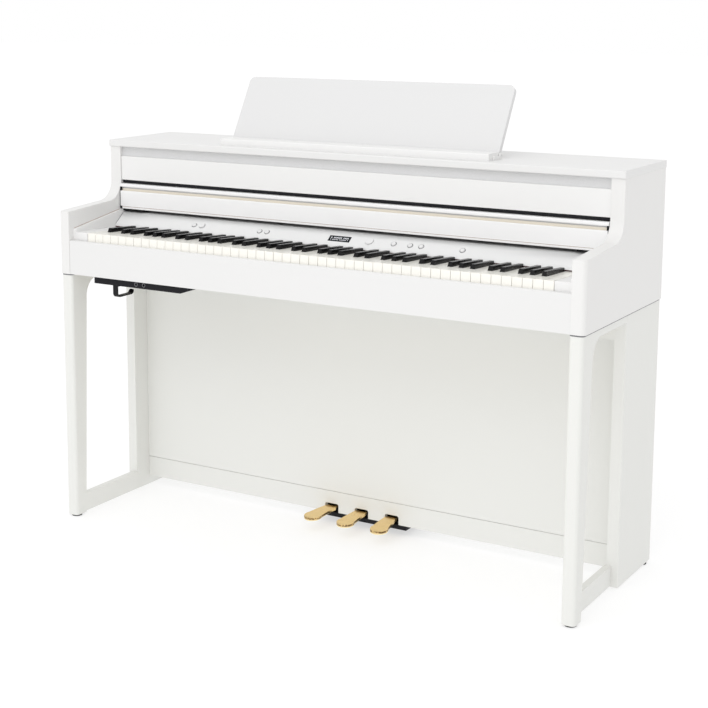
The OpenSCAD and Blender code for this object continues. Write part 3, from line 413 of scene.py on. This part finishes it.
speckles = brass.nodes.new("ShaderNodeTexNoise")
speckles.inputs["Scale"].default_value = SPECKLE_SCALE
brass.links.new(place, speckles.inputs["Vector"])
dark_reflection_speckle = soft_step(brass, speckles.outputs["Fac"], SPECKLE_BORDER, BETWEEN_SPECKLES_SHARE, 1)
round_low = soft_step(brass, over_foot, DARK_REFLECTION_FOOT, 0, 1, NOSE_FOOT)
round_high = soft_step(brass, over_foot, DARK_REFLECTION_TOP, 1, 0, NOSE_FOOT)
upper_round = times(brass, times(brass, round_low, round_high), on_nose)
paint_over(brass, brass_shader, times(brass, upper_round, dark_reflection_speckle), DARK_REFLECTION_BRASS)
print("darker round on a pedal's nose:", round((DARK_REFLECTION_TOP[1] - DARK_REFLECTION_FOOT[0]) / MM, 1), "mm tall")

# %% [markdown]
# The strip under the top board is speaker cloth: fine threads that cross over and under. Two wave patterns at
# right angles draw the threads, and the higher of the two at each point drives both colour and relief. The
# colour is painted light and shade of the weave: dark in the hollows between threads, light on their tops.

# %% Speaker cloth
THREAD_SCALE = 210
WAVE_STEP = math.tau / 20  # a wave texture of scale 1 repeats after this length
THREAD_WAVER = 0.4
THREAD_RELIEF = 0.15 * MM
# Painted shade in the hollows between threads, and painted light on the thread tops.
THREAD_HOLLOW_SHADE = (0.42, 0.42, 0.425, 1)
THREAD_TOP_LIGHT = (0.78, 0.78, 0.785, 1)


def speaker_cloth():
    material = FINISHES["satin_white"].copy()
    material.name = "grille_cloth"
    tree = material.node_tree
    place = object_place(tree)
    cross = tree.nodes.new("ShaderNodeMath")
    cross.operation = "MAXIMUM"
    for thread, direction in enumerate(("X", "Z")):
        wave = tree.nodes.new("ShaderNodeTexWave")
        wave.bands_direction = direction
        wave.inputs["Scale"].default_value = THREAD_SCALE
        wave.inputs["Distortion"].default_value = THREAD_WAVER
        tree.links.new(place, wave.inputs["Vector"])
        tree.links.new(wave.outputs["Fac"], cross.inputs[thread])
    ramp = tree.nodes.new("ShaderNodeValToRGB")
    ramp.color_ramp.elements[0].color = THREAD_HOLLOW_SHADE
    ramp.color_ramp.elements[1].color = THREAD_TOP_LIGHT
    tree.links.new(cross.outputs[0], ramp.inputs["Fac"])
    shader = tree.nodes["Principled BSDF"]
    shader.inputs["Sheen Weight"].default_value = 0.3
    tree.links.new(ramp.outputs["Color"], shader.inputs["Base Color"])
    bump = next(node for node in tree.nodes if node.type == "BUMP")
    bump.inputs["Distance"].default_value = THREAD_RELIEF
    tree.links.new(cross.outputs[0], bump.inputs["Height"])
    return material


FINISHES["grille_cloth"] = speaker_cloth()
print("one thread every", round(WAVE_STEP / THREAD_SCALE / MM, 2), "mm")

# %% [markdown]
# Every part first gets the finish of its slot. Parts that stay as packed keep it; the others are replaced
# below by a softened copy of themselves.

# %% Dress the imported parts
for node, part in frame["nodes"].items():
    part.data.materials.clear()
    part.data.materials.append(FINISHES[SLOT_OF[node]])
print("dressed parts:", len(frame["nodes"]))

# %% [markdown]
# Nothing real has a perfectly sharp edge. Lacquered board is sanded to a small radius, moulded plastic comes
# rounded from its tool, and these narrow rounds catch the light along every edge. A softened piece is a copy
# of the imported part with its loose triangles merged, its flat faces joined, and a Bevel of the real radius.
# Weighted Normal then lets each large face set the normals at its border, so that a flat board is shaded flat
# and only its rounds turn. The imported part is hidden and stays in the physics. A short list names the parts
# that get a lighter or darker copy of the lacquer, which paints light or shade into their colour, and the
# others keep their slot's finish.

# %% Helpers for pieces
FLAT_ANGLE = math.radians(0.4)


def clean_copy(node):
    """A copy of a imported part's mesh with merged corners and whole flat faces."""
    mesh = frame["nodes"][node].data.copy()
    shape = bmesh.new()
    shape.from_mesh(mesh)
    bmesh.ops.remove_doubles(shape, verts=shape.verts, dist=HAIR)
    bmesh.ops.dissolve_limit(shape, angle_limit=FLAT_ANGLE, verts=shape.verts, edges=shape.edges)
    for face in shape.faces:
        face.smooth = True
    shape.to_mesh(mesh)
    shape.free()
    return mesh


def new_piece(name, mesh, finish_name):
    """A piece whose place is in its mesh, dressed in one finish."""
    mesh.materials.clear()
    mesh.materials.append(FINISHES[finish_name])
    return into_scene(bpy.data.objects.new(name, mesh))


def applied(piece):
    """Turns the piece's modifiers into plain mesh."""
    graph = bpy.context.evaluated_depsgraph_get()
    mesh = bpy.data.meshes.new_from_object(piece.evaluated_get(graph), depsgraph=graph)
    piece.modifiers.clear()
    piece.data = mesh


def carried(piece, body):
    """Attaches the piece to the body that carries it."""
    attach(piece, body)


# %% The edge softener
# Parts whose lacquer copy paints light or shade into their colour.
PAINTED_LIGHT_AND_SHADE_OF = {"lid_front": "lid_white_painted_light", "lid_board": "lid_white_painted_light", "upper_front_panel": "upper_white_painted_light",
            "rest_ledge": "upper_white_painted_light", "key_blocks": "upper_white_painted_light", "side_panel_left": "side_white_painted_light",
            "side_panel_right": "side_white_painted_light", "music_rest": "rest_white_painted_shade"}
EDGE_ANGLE = math.radians(40)
FACE_WEIGHT = 80


def soften(node, radius_mm, segments=3):
    """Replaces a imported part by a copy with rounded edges."""
    piece = new_piece(node + "_soft", clean_copy(node), PAINTED_LIGHT_AND_SHADE_OF.get(node, SLOT_OF[node]))
    bevel = piece.modifiers.new("edge", "BEVEL")
    bevel.width = radius_mm * MM
    bevel.segments = segments
    bevel.limit_method = "ANGLE"
    bevel.angle_limit = EDGE_ANGLE
    level = piece.modifiers.new("flat_faces", "WEIGHTED_NORMAL")
    level.mode = "FACE_AREA"
    level.weight = FACE_WEIGHT
    applied(piece)
    carried(piece, BODY_OF[node])
    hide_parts(node)


# %% [markdown]
# The radius of each part's edges is given in millimetres. The keys and the buttons are many and alike, so
# their radius goes by their slot, with two segments for a key because there are 88 of them.

# %% Soften the parts
EDGE_RADII = {
    "side_panel_left": 1.5, "side_panel_right": 1.5, "top_board": 1.2, "upper_front_panel": 1.2,
    "key_slip": 1.0, "key_blocks": 1.2, "lid_board": 0.8, "lid_front": 1.0, "music_rest": 1.5,
    "rest_ledge": 1.2, "legs": 1.8, "rear_boards": 2.2, "lid_pads": 0.8, "lower_back_panel": 0.8,
    "pedal_rail": 1.0, "jack_box": 0.8, "headphone_hook": 0.6, "pedal_soft": 2.6, "pedal_sostenuto": 2.6,
    "pedal_damper": 2.6, "pedal_box": 0.6, "control_panel": 0.5, "feet": 0.6, "value_dial": 0.6,
    "volume_knob": 0.5, "rest_strut": 0.5, "display_window": 0.3,
}
SLOT_EDGES = {"button_white": (0.45, 3), "key_white": (0.7, 2), "key_black": (1.1, 2)}
for node, radius in EDGE_RADII.items():
    soften(node, radius)
by_slot = [node for node, slot in SLOT_OF.items() if slot in SLOT_EDGES and node not in EDGE_RADII]
for node in by_slot:
    soften(node, *SLOT_EDGES[SLOT_OF[node]])
print("softened parts:", len(EDGE_RADII), "by name and", len(by_slot), "by slot")

# %% [markdown]
# The lid's finger groove gets a cream strip on its back and another on its sill, which paint the warm shade in
# the groove. A fine grey strip over the back one paints the shadow line under the groove's top, and a fine
# brown line runs along the foot of the lid's face. Such trim is thinner than a millimetre, too thin for the
# imported model. Each strip is a slab with its edges rounded, laid on the surface it trims. Painting it on
# would be less work, but a real strip has an edge of its own that catches the light.

# %% Trim strips
FINE_ROUND = 0.1 * MM


def trim_strip(name, low, high, body, finish_name, radius=FINE_ROUND):
    """A slab between two corners, with its edges rounded."""
    shape = bmesh.new()
    bmesh.ops.create_cube(shape, size=1.0)
    size = Vector(high) - Vector(low)
    middle = (Vector(high) + Vector(low)) / 2
    stretch = Matrix.Translation(middle) @ Matrix.Diagonal((*size, 1))
    bmesh.ops.transform(shape, matrix=stretch, verts=shape.verts)
    bmesh.ops.bevel(shape, geom=list(shape.edges), offset=radius, segments=2, affect="EDGES")
    mesh = bpy.data.meshes.new(name)
    shape.to_mesh(mesh)
    shape.free()
    carried(new_piece(name, mesh, finish_name), body)
    print(name, [round(side / MM, 1) for side in size], "mm")


# %% Groove and foot of the lid
LID_LOW, LID_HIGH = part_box("lid_front")
GROOVE_D = 6 * MM
GROOVE_END_W = 4 * MM
SHADE_BAND_H = 6.2 * MM
SHADE_BAND_T = 0.5 * MM
LINE_H = 2 * MM
LINE_T = 0.8 * MM
SILL_SET = 2 * MM
SILL_T = 0.5 * MM
FOOT_LINE_Z = (5 * MM, 6.2 * MM)
FOOT_LINE_Y = (-0.15 * MM, 0.1 * MM)
FOOT_LINE_END = 1 * MM
FOOT_LINE_ROUND = 0.04 * MM
groove_back = LID_LOW[1] + GROOVE_D
groove_foot = max(vertex.co.z for vertex in frame["nodes"]["lid_front"].data.vertices
                  if vertex.co.y < LID_LOW[1] + GROOVE_D / 2)


def lid_strip(name, end_gap, across, upward, finish_name, radius=FINE_ROUND):
    """A strip along the lid, from front to back and from low to high as given."""
    trim_strip(name, (LID_LOW[0] + end_gap, across[0], upward[0]),
               (LID_HIGH[0] - end_gap, across[1], upward[1]), "lid", finish_name, radius)


# Cream strips paint the warm shade in the groove, and a grey strip paints the shadow line above them.
lid_strip("groove_back_shade", GROOVE_END_W, (groove_back - SHADE_BAND_T, groove_back),
          (groove_foot, groove_foot + SHADE_BAND_H), "cream_groove_shade")
lid_strip("groove_sill_shade", GROOVE_END_W, (LID_LOW[1] + SILL_SET, groove_back),
          (groove_foot - HAIR, groove_foot + SILL_T), "cream_groove_shade")
lid_strip("groove_shadow_line", GROOVE_END_W, (groove_back - LINE_T, groove_back),
          (groove_foot + SHADE_BAND_H, groove_foot + SHADE_BAND_H + LINE_H), "shade_ring")
lid_strip("foot_line", FOOT_LINE_END, (LID_LOW[1] + FOOT_LINE_Y[0], LID_LOW[1] + FOOT_LINE_Y[1]),
          (LID_LOW[2] + FOOT_LINE_Z[0], LID_LOW[2] + FOOT_LINE_Z[1]), "mark_line", FOOT_LINE_ROUND)
print("groove:", round(groove_foot, 4), "to", round(LID_HIGH[2], 4))

# %% [markdown]
# Both ends of the lid get the same three dark pieces: a block that closes the end of the groove, a narrow
# strip down the face, and a bumper at the foot. The block and the strip are painted shade, the dark of the gap
# between the lid's end and the side panel, and the bumper is a black pad. One loop makes them, working inwards
# from the end, so the two ends can't drift apart.

# %% Ends of the lid
END_W = 1.4 * MM
END_LIFT = 0.5 * MM
END_BACK = 0.3 * MM
BUMPER = 7 * MM
GROOVE_END_SET = 0.4 * MM
STRIP_PROUD = 0.15 * MM
BUMPER_PROUD = 0.3 * MM
end_foot = LID_LOW[2] + END_LIFT
end_back = LID_LOW[1] + END_BACK
# The block at the groove's end and the strip down the face are painted shade of the end gap; the bumper is a
# black pad.
for side, edge, inward in (("bass", LID_LOW[0], 1), ("treble", LID_HIGH[0], -1)):
    for name, width, foot, top, front, back in (
            ("groove_end_shade_", GROOVE_END_W, groove_foot, LID_HIGH[2], LID_LOW[1] + GROOVE_END_SET, groove_back),
            ("end_gap_shade_", END_W, end_foot, groove_foot, LID_LOW[1] - STRIP_PROUD, end_back),
            ("end_bumper_", BUMPER, end_foot, LID_LOW[2] + BUMPER, LID_LOW[1] - BUMPER_PROUD, end_back)):
        left, right = sorted((edge, edge + inward * width))
        trim_strip(name + side, (left, front, foot), (right, back, top), "lid", "case_black")

# %% [markdown]
# The lid slides out of a slot under the upper panel. A black felt strip hangs from the panel's foot and closes
# the slot to a millimetre over the lid's board, so that the slot is an even black line. Its solid black is
# partly the felt's own colour and partly painted shade, standing in for the dark of the slot. It is fixed to
# the cabinet, and the board passes freely below it.

# %% Felt and painted shade in the lid's slot
FELT_FRONT = 5 * MM
FELT_REAR = 3 * MM
FELT_END = 1 * MM
FELT_CLEAR = 1 * MM
FELT_BITE = 0.2 * MM
FELT_ROUND = 0.3 * MM
panel_low, panel_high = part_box("upper_front_panel")
board_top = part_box("lid_board")[1][2]
# The strip is felt, and its solid black also paints the slot's shade.
trim_strip("slot_felt_and_shade", (panel_low[0] + FELT_END, panel_low[1] + FELT_FRONT, board_top + FELT_CLEAR),
           (panel_high[0] - FELT_END, panel_high[1] - FELT_REAR, panel_low[2] + FELT_BITE),
           "cabinet", "case_black", FELT_ROUND)

# %% [markdown]
# Rings, screw crosses and the display's marks each repeat one small shape over a set of places. Geometry
# Nodes does that well: the places are the points of a mesh, the small shape is drawn once in the tree, and
# Instance on Points lays it at each of them. Realize Instances turns the copies into real mesh, because an
# exporter drops instances, and Set Material gives them their finish. The inputs have names and sizes.

# %% Helpers for Geometry Nodes
def new_tree(name, inputs):
    tree = bpy.data.node_groups.new(name, "GeometryNodeTree")
    tree.interface.new_socket("Geometry", in_out="INPUT", socket_type="NodeSocketGeometry")
    for label, kind in inputs:
        tree.interface.new_socket(label, in_out="INPUT", socket_type=kind)
    tree.interface.new_socket("Geometry", in_out="OUTPUT", socket_type="NodeSocketGeometry")
    print("tree", name, "with inputs", [label for label, kind in inputs])
    return tree, tree.nodes.new("NodeGroupInput"), tree.nodes.new("NodeGroupOutput")


def paint_and_close(tree, source, sink, mesh):
    """Gives the mesh the tree's material input and hands it out."""
    painted = tree.nodes.new("GeometryNodeSetMaterial")
    tree.links.new(mesh, painted.inputs["Geometry"])
    tree.links.new(source.outputs["Material"], painted.inputs["Material"])
    tree.links.new(painted.outputs["Geometry"], sink.inputs["Geometry"])


def swept_section(tree, source, path):
    """Sweeps a rectangle of the tree's width and height along a path, with closed ends."""
    section = tree.nodes.new("GeometryNodeCurvePrimitiveQuadrilateral")
    swept = tree.nodes.new("GeometryNodeCurveToMesh")
    swept.inputs["Fill Caps"].default_value = True
    tree.links.new(source.outputs["Width"], section.inputs["Width"])
    tree.links.new(source.outputs["Height"], section.inputs["Height"])
    tree.links.new(path, swept.inputs["Curve"])
    tree.links.new(section.outputs["Curve"], swept.inputs["Profile Curve"])
    return swept.outputs["Mesh"]


def lay_and_close(tree, source, sink, places, small_shape):
    """Lays the small shape on the places and makes the copies real mesh."""
    laid = tree.nodes.new("GeometryNodeInstanceOnPoints")
    real = tree.nodes.new("GeometryNodeRealizeInstances")
    tree.links.new(places, laid.inputs["Points"])
    tree.links.new(small_shape, laid.inputs["Instance"])
    tree.links.new(source.outputs["Turn"], laid.inputs["Rotation"])
    tree.links.new(laid.outputs["Instances"], real.inputs["Geometry"])
    paint_and_close(tree, source, sink, real.outputs["Geometry"])


# %% From a tree to a plain piece
def grow(name, tree, places, values, body, finish_name, chained=False):
    """Runs a tree over a mesh of places, single or joined in a chain, and keeps a plain piece."""
    mesh = bpy.data.meshes.new(name + "_places")
    edges = [(i, i + 1) for i in range(len(places) - 1)] if chained else []
    mesh.from_pydata([tuple(place) for place in places], edges, [])
    piece = into_scene(bpy.data.objects.new(name, mesh))
    modifier = piece.modifiers.new("repeat", "NODES")
    modifier.node_group = tree
    sockets = {item.name: item.identifier for item in tree.interface.items_tree if item.in_out == "INPUT"}
    for label, value in {**values, "Material": FINISHES[finish_name]}.items():
        modifier[sockets[label]] = value
    applied(piece)
    carried(piece, body)
    print(name, len(places), "places,", len(piece.data.polygons), "faces")


# %% [markdown]
# A ring is a small rectangle swept round a circle: Curve to Mesh does the sweep. The same tree serves the
# shadow rings round the panel's controls and the dark collars in the two headphone sockets, which differ
# only in size, place and finish.

# %% Ring tree
RING_STEPS = 48
rings, source, sink = new_tree("rings", [
    ("Radius", "NodeSocketFloat"), ("Width", "NodeSocketFloat"), ("Height", "NodeSocketFloat"),
    ("Turn", "NodeSocketRotation"), ("Material", "NodeSocketMaterial")])
path = rings.nodes.new("GeometryNodeCurvePrimitiveCircle")
path.inputs["Resolution"].default_value = RING_STEPS
rings.links.new(source.outputs["Radius"], path.inputs["Radius"])
ring = swept_section(rings, source, path.outputs["Curve"])
lay_and_close(rings, source, sink, source.outputs["Geometry"], ring)

# %% [markdown]
# The panel's slope isn't a number typed in again: the volume knob's joint gives it, because the knob turns
# about a line square to the panel. All the controls lie on one line along the slope, so that joint's place
# gives the line too, and only the distance along the keyboard differs.

# %% The panel's slope
JOINT_OF = {joint["child"]: joint for joint in BEHAVIOUR["joints"]}
PANEL_UP = Vector(JOINT_OF["volume_knob"]["axis"])
PANEL_LINE = Vector(JOINT_OF["volume_knob"]["pos_m"])
PANEL_TURN = (math.atan2(-PANEL_UP.y, PANEL_UP.z), 0, 0)


def middle_x(node):
    low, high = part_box(node)
    return (low[0] + high[0]) / 2


def on_panel(x, lift, up_slope=0.0):
    """A place over the panel: along the keyboard, off the line of controls, and up the slope."""
    along = Vector((0, PANEL_UP.z, -PANEL_UP.y))
    return Vector((x, PANEL_LINE.y, PANEL_LINE.z)) + PANEL_UP * lift + along * up_slope


def face_lift(node):
    """How far the node's outer face lies above the line of the controls."""
    return max((vertex.co - PANEL_LINE).dot(PANEL_UP) for vertex in frame["nodes"][node].data.vertices)


SLOPE = face_lift("control_panel")
print("panel face above the line of controls:", round(SLOPE / MM, 2), "mm")

# %% Rings round the controls
BUTTON_RING = {"Radius": 6.4 * MM, "Width": 1.1 * MM, "Height": 0.3 * MM, "Turn": PANEL_TURN}
BUTTON_RING_SINK = 0.65 * MM
KNOB_RING_GAP = 0.8 * MM
KNOB_RING_LIFT = 0.05 * MM
KNOB_RING = {"Width": 0.9 * MM, "Height": 0.2 * MM, "Turn": PANEL_TURN}
ROUND_CONTROLS = {"volume_knob": "shade_ring", "value_dial": "panel_silver"}
buttons = [node for node, slot in SLOT_OF.items() if slot == "button_white" and node not in ROUND_CONTROLS]
seats = [on_panel(middle_x(node), SLOPE - BUTTON_RING_SINK) for node in buttons]
grow("button_rings", rings, seats, BUTTON_RING, "cabinet", "dark_ring")
for node, ring_finish in ROUND_CONTROLS.items():
    low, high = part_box(node)
    radius = (high[0] - low[0]) / 2 + KNOB_RING_GAP
    grow(node + "_ring", rings, [on_panel(middle_x(node), SLOPE + KNOB_RING_LIFT)],
         {"Radius": radius, **KNOB_RING}, "cabinet", ring_finish)

# %% [markdown]
# Each headphone socket has a dark collar just inside its mouth. The sockets are listed with the model as
# places where a plug goes in, so the collars take their places from that list, one ring for each.

# %% Collars in the headphone sockets
COLLAR = {"Radius": 4.2 * MM, "Width": 1.5 * MM, "Height": 0.9 * MM, "Turn": (math.pi / 2, 0, 0)}
COLLAR_SINK = 0.7 * MM
jack_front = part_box("jack_box")[0][1]
sockets = [mount for mount in frame["record"]["mounts"] if mount["name"].startswith("phone_jack")]
collar_places = [(mount["pos_m"][0], jack_front + COLLAR_SINK, mount["pos_m"][2]) for mount in sockets]
grow("socket_collars", rings, collar_places, COLLAR, "cabinet", "dark_ring")

# %% [markdown]
# The display shows two rows of short lit bars. Their places are a plain grid. A seeded random choice in
# the tree leaves some of them out, as on a display in use, and spells nothing. A bar is a cube primitive
# of a few faces, since it repeats many times.

# %% Bar tree
bars, source, sink = new_tree("bars", [
    ("Size", "NodeSocketVector"), ("Share", "NodeSocketFloat"), ("Seed", "NodeSocketInt"),
    ("Turn", "NodeSocketRotation"), ("Material", "NodeSocketMaterial")])
lit = bars.nodes.new("FunctionNodeRandomValue")
lit.data_type = "BOOLEAN"
lit_choice = lit.outputs[3]  # of this node's four outputs, the one that says yes or no
kept = bars.nodes.new("GeometryNodeSeparateGeometry")
bar = bars.nodes.new("GeometryNodeMeshCube")
bars.links.new(source.outputs["Share"], lit.inputs["Probability"])
bars.links.new(source.outputs["Seed"], lit.inputs["Seed"])
bars.links.new(source.outputs["Geometry"], kept.inputs["Geometry"])
bars.links.new(lit_choice, kept.inputs["Selection"])
bars.links.new(source.outputs["Size"], bar.inputs["Size"])
lay_and_close(bars, source, sink, kept.outputs["Selection"], bar.outputs["Mesh"])

# %% Lit marks on the display
ROW_LENGTH = 48 * MM
BAR_FILL = 0.55
BAR_T = 0.1 * MM
DISPLAY_ROWS = (
    {"up_slope": 2.4 * MM, "tall": 4.4 * MM, "share": 0.85, "columns": 13, "seed": 5},
    {"up_slope": -3.6 * MM, "tall": 2.4 * MM, "share": 0.75, "columns": 18, "seed": 6},
)
display_x = middle_x("display_window")
window_lift = face_lift("display_window")
for number, row in enumerate(DISPLAY_ROWS, 1):
    pitch = ROW_LENGTH / row["columns"]
    first_x = display_x - (row["columns"] - 1) / 2 * pitch
    places = [on_panel(first_x + column * pitch, window_lift, row["up_slope"])
              for column in range(row["columns"])]
    grow("display_row_" + str(number), bars, places,
         {"Size": (BAR_FILL * pitch, row["tall"], BAR_T), "Share": row["share"], "Seed": row["seed"],
          "Turn": PANEL_TURN}, "cabinet", "lit_mark")

# %% [markdown]
# Where the panel ends at the two lid guides, a narrow dark joint runs down its slope. Two long, flat bars from
# the same tree draw it, with none left out. The felt ends at the same place, so its box gives the distance. A
# second pair lies in the joint between each guide and its side panel, and slopes as the lid slides. It is a
# brownish line that paints the shade in that joint. It is thinner than the gap beside the lid, so the lid
# passes it freely.

# %% Joint lines at the panel's ends
JOINT_SIZE = (1.2 * MM, 38 * MM, 0.2 * MM)
JOINT_SET = 0.4 * MM
JOINT_LIFT = 0.03 * MM


def full_set(size, turn):
    """Values for the bar tree when every bar is wanted."""
    return {"Size": size, "Share": 1.0, "Seed": 1, "Turn": turn}


panel_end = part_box("key_felt")[1][0] - JOINT_SET
grow("panel_joints", bars, [on_panel(side * panel_end, SLOPE + JOINT_LIFT) for side in (-1, 1)],
     full_set(JOINT_SIZE, PANEL_TURN), "cabinet", "dark_ring")

# %% Painted shade in the joints beside the lid's guides
GUIDE_LINE_W = 0.4 * MM
GUIDE_LINE_H = 1.6 * MM
GUIDE_LINE_END = 2 * MM
guide_low, guide_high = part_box("key_blocks")
lid_axis = Vector(JOINT_OF["lid"]["axis"])
slide_turn = math.atan2(-lid_axis.z, -lid_axis.y)
guide_x = guide_high[0] - GUIDE_LINE_W / 2
guide_y = (guide_low[1] + LID_LOW[1]) / 2
guide_z = guide_high[2] - (LID_HIGH[1] - guide_y) * math.tan(slide_turn) + GUIDE_LINE_H / 2
guide_run = (LID_LOW[1] - guide_low[1] - 2 * GUIDE_LINE_END) / math.cos(slide_turn)
# A brownish line that paints the shade in the joint.
grow("guide_joint_shade", bars, [(side * guide_x, guide_y, guide_z) for side in (-1, 1)],
     full_set((GUIDE_LINE_W, guide_run, GUIDE_LINE_H), (slide_turn, 0, 0)),
     "cabinet", "mark_line")

# %% [markdown]
# The six screws along the foot of the back board have cross recesses. The same bar tree lays them: one bar
# along the board and one across it, with no bar left out. The black bars paint the shade in the recesses.

# %% Screw crosses on the back board
SCREW_COUNT = 6
SCREW_FROM_EDGE = 56 * MM
CROSS_LONG = 5 * MM
CROSS_WIDE = 0.9 * MM
CROSS_T = 0.1 * MM
back_low, back_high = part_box("cabinet_back")
bed_low, bed_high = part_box("keybed")
screw_reach = back_high[0] - SCREW_FROM_EDGE
screw_z = (bed_low[2] + bed_high[2]) / 2
heads = [(screw_reach * (2 * i / (SCREW_COUNT - 1) - 1), back_high[1], screw_z) for i in range(SCREW_COUNT)]
# Black bars: painted shade in the cross recesses.
for name, size in (("screw_cross_a", (CROSS_LONG, CROSS_T, CROSS_WIDE)),
                   ("screw_cross_b", (CROSS_WIDE, CROSS_T, CROSS_LONG))):
    grow(name, bars, heads, full_set(size, (0, 0, 0)), "cabinet", "case_black")

# %% [markdown]
# The cabinet stands on its stand over a narrow shadow gap. The softened edges alone don't show it on white
# boards, so a thin dark band lies just under the joint. It runs forward along the rear board and the leg,
# round the leg's front and a short way back along its inner face. The band is one section swept along that
# path: Mesh to Curve turns a chain of points into a curve, and the sweep is the one that made the rings.

# %% Band tree
bands, source, sink = new_tree("bands", [
    ("Width", "NodeSocketFloat"), ("Height", "NodeSocketFloat"), ("Material", "NodeSocketMaterial")])
chain = bands.nodes.new("GeometryNodeMeshToCurve")
bands.links.new(source.outputs["Geometry"], chain.inputs["Mesh"])
paint_and_close(bands, source, sink, swept_section(bands, source, chain.outputs["Curve"]))

# %% Shadow gap over the stand
GAP_T = 0.4 * MM
GAP_H = 3 * MM
GAP_PROUD = 0.1 * MM
GAP_DROP = 0.2 * MM
GAP_REAR_SET = 2 * MM
GAP_INNER_RUN = 75 * MM
ROUND_STEPS = 6
legs_low, legs_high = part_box("legs")
rear_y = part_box("rear_boards")[1][1]
leg_tops = [vertex.co for vertex in frame["nodes"]["legs"].data.vertices
            if vertex.co.x > 0 and vertex.co.z > legs_high[2] - MM]
leg_inner = min(corner.x for corner in leg_tops)
leg_round = min(corner.y for corner in leg_tops if corner.x < leg_inner + HAIR) - legs_low[1]


def stand_line(side):
    """The path of the band on one side, from the rear board's back to the leg's inner face."""
    outer, inner, front = legs_high[0] + GAP_PROUD, leg_inner - GAP_PROUD, legs_low[1] - GAP_PROUD
    radius = leg_round + GAP_PROUD
    places = [(outer, rear_y - GAP_REAR_SET)]
    for centre_x, start in ((outer - radius, 0.0), (inner + radius, math.pi / 2)):
        for step in range(ROUND_STEPS + 1):
            angle = start + math.pi / 2 * step / ROUND_STEPS
            places.append((centre_x + radius * math.cos(angle), front + radius - radius * math.sin(angle)))
    places.append((inner, legs_low[1] + GAP_INNER_RUN))
    height = legs_high[2] - GAP_DROP - GAP_H / 2
    return [(side * x, y, height) for x, y in places]


for name, side in (("bass", -1), ("treble", 1)):
    grow("stand_gap_" + name, bands, stand_line(side), {"Width": GAP_T, "Height": GAP_H},
         "cabinet", "dark_ring", chained=True)
